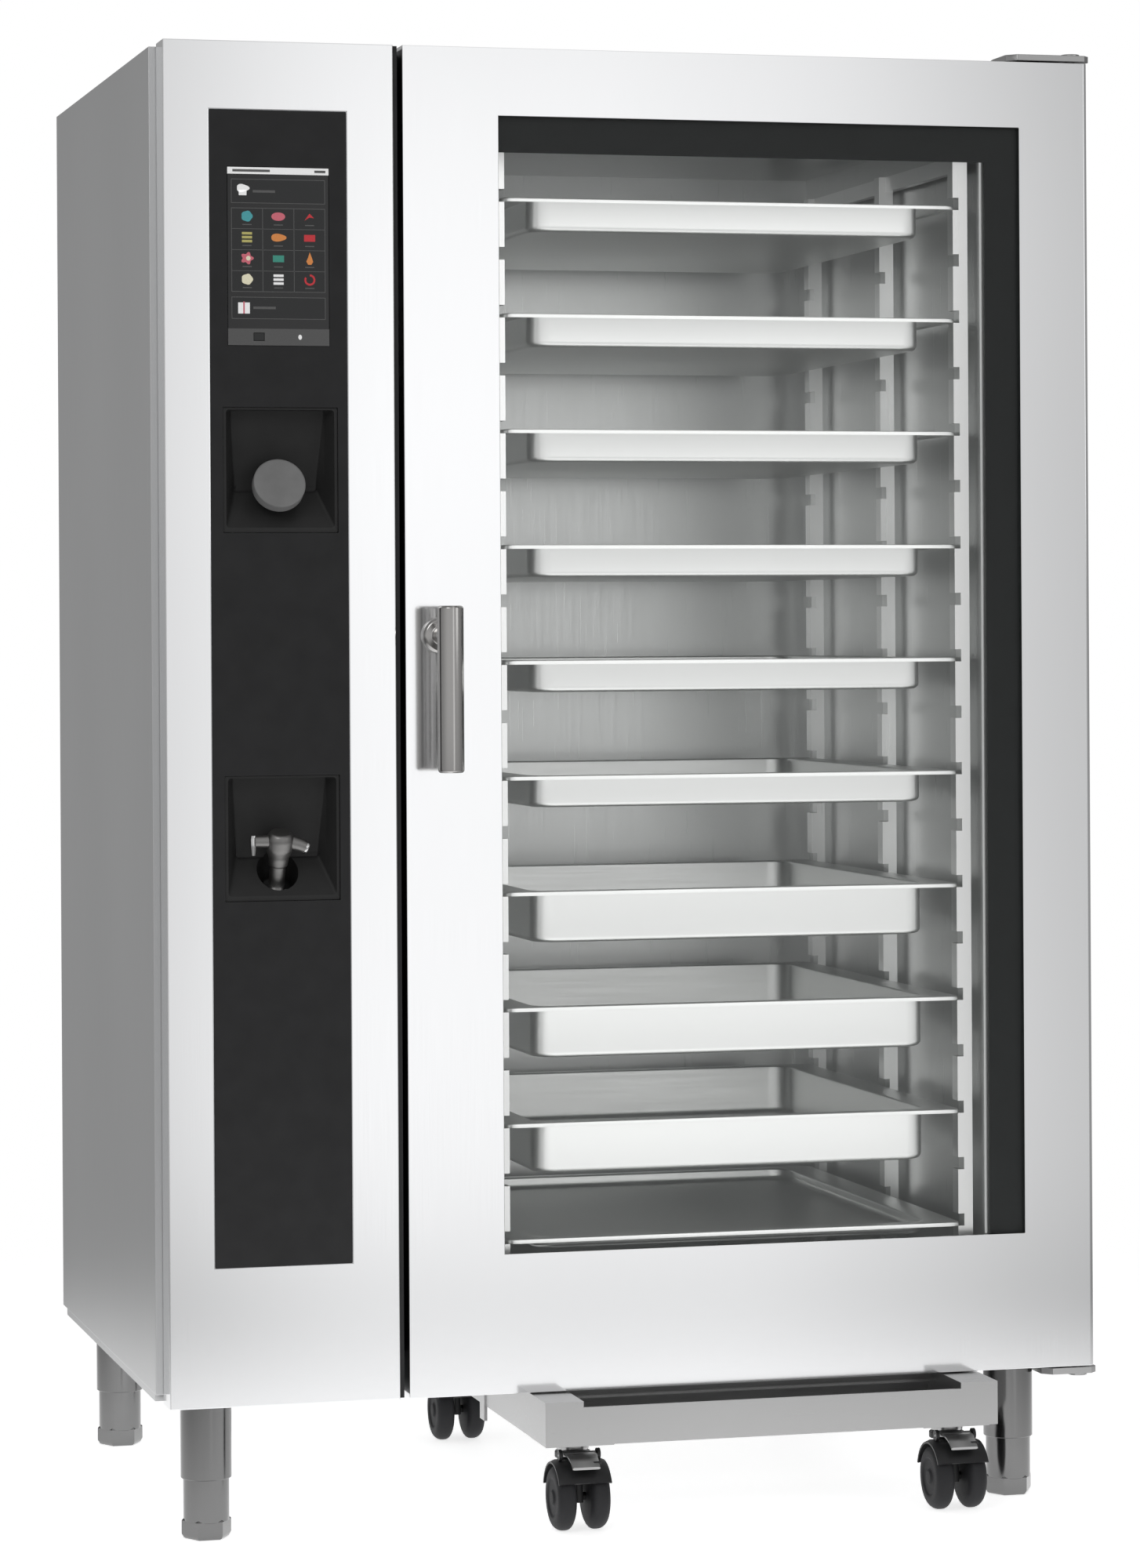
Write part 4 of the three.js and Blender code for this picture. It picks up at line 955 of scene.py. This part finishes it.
def softbox(name, place, target, size, power):
    """A rectangular light, in watts, that the camera does not see."""
    data = bpy.data.lights.new(name, "AREA")
    data.shape = "RECTANGLE"
    data.size, data.size_y, data.energy = *size, power
    made = bpy.data.objects.new(name, data)
    towards = Vector(target) - Vector(place)
    turn = towards.to_track_quat("-Z", "Y").to_matrix().to_4x4()
    made.matrix_world = Matrix.Translation(place) @ turn
    made.visible_camera = False
    bpy.context.scene.collection.objects.link(made)


def ramp(nodes, links, source, start, end, before, after):
    """A smooth change from one value to another as the source goes from start to end."""
    made = nodes.new("ShaderNodeMapRange")
    made.interpolation_type = "SMOOTHSTEP"
    values = {"From Min": start, "From Max": end, "To Min": before, "To Max": after}
    for socket, value in values.items():
        made.inputs[socket].default_value = value
    links.new(source, made.inputs["Value"])
    return made.outputs["Result"]


def surroundings():
    """A white room: brightest in front of the oven, dimmer elsewhere, plain white in view."""
    world = bpy.data.worlds.new("studio")
    bpy.context.scene.world = world
    world.use_nodes = True
    nodes, links = world.node_tree.nodes, world.node_tree.links
    background = nodes["Background"]
    place = nodes.new("ShaderNodeTexCoord")
    split = nodes.new("ShaderNodeSeparateXYZ")
    seen = nodes.new("ShaderNodeLightPath")
    pick = nodes.new("ShaderNodeMix")
    pick.inputs["B"].default_value = 1.0
    links.new(place.outputs["Generated"], split.inputs["Vector"])
    tone = ramp(nodes, links, split.outputs["Y"], -0.90, 0.0, 1.08, 0.68)
    # Each fall: the direction's axis, where along it the change starts and ends, and the two tones.
    falls = [("X", 0.13, 0.21, 0.52, 1.0), ("X", 0.26, 0.40, 1.0, 0.42),
             ("Z", -0.19, -0.11, 0.48, 1.0), ("Z", 0.08, 0.17, 1.0, 0.86)]
    for direction, *fall in falls:
        share = ramp(nodes, links, split.outputs[direction], *fall)
        times = nodes.new("ShaderNodeMath")
        times.operation = "MULTIPLY"
        links.new(tone, times.inputs[0])
        links.new(share, times.inputs[1])
        tone = times.outputs[0]
    links.new(seen.outputs["Is Camera Ray"], pick.inputs["Factor"])
    links.new(tone, pick.inputs["A"])
    links.new(pick.outputs["Result"], background.inputs["Strength"])
    background.inputs["Color"].default_value = (1, 1, 1, 1)


def lights():
    """Two softboxes on the front, and a soft light into the cavity from its door's inner glass."""
    middle = (0, 0, 0.9)
    softbox("key", (-3.0, -4.5, 4.2), middle, (2.5, 2.5), 40)
    softbox("fill", (3.5, -4.0, 2.5), middle, (2.0, 2.5), 12)
    lo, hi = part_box("door_inner_glass")
    opening = (lo + hi) / 2 + Y * 10 * MM
    softbox("cavity_lamp", opening, opening + Y, (hi.x - lo.x, hi.z - lo.z), 2.2)


floor()
camera()
surroundings()
lights()
bpy.context.scene.view_settings.view_transform = "Standard"
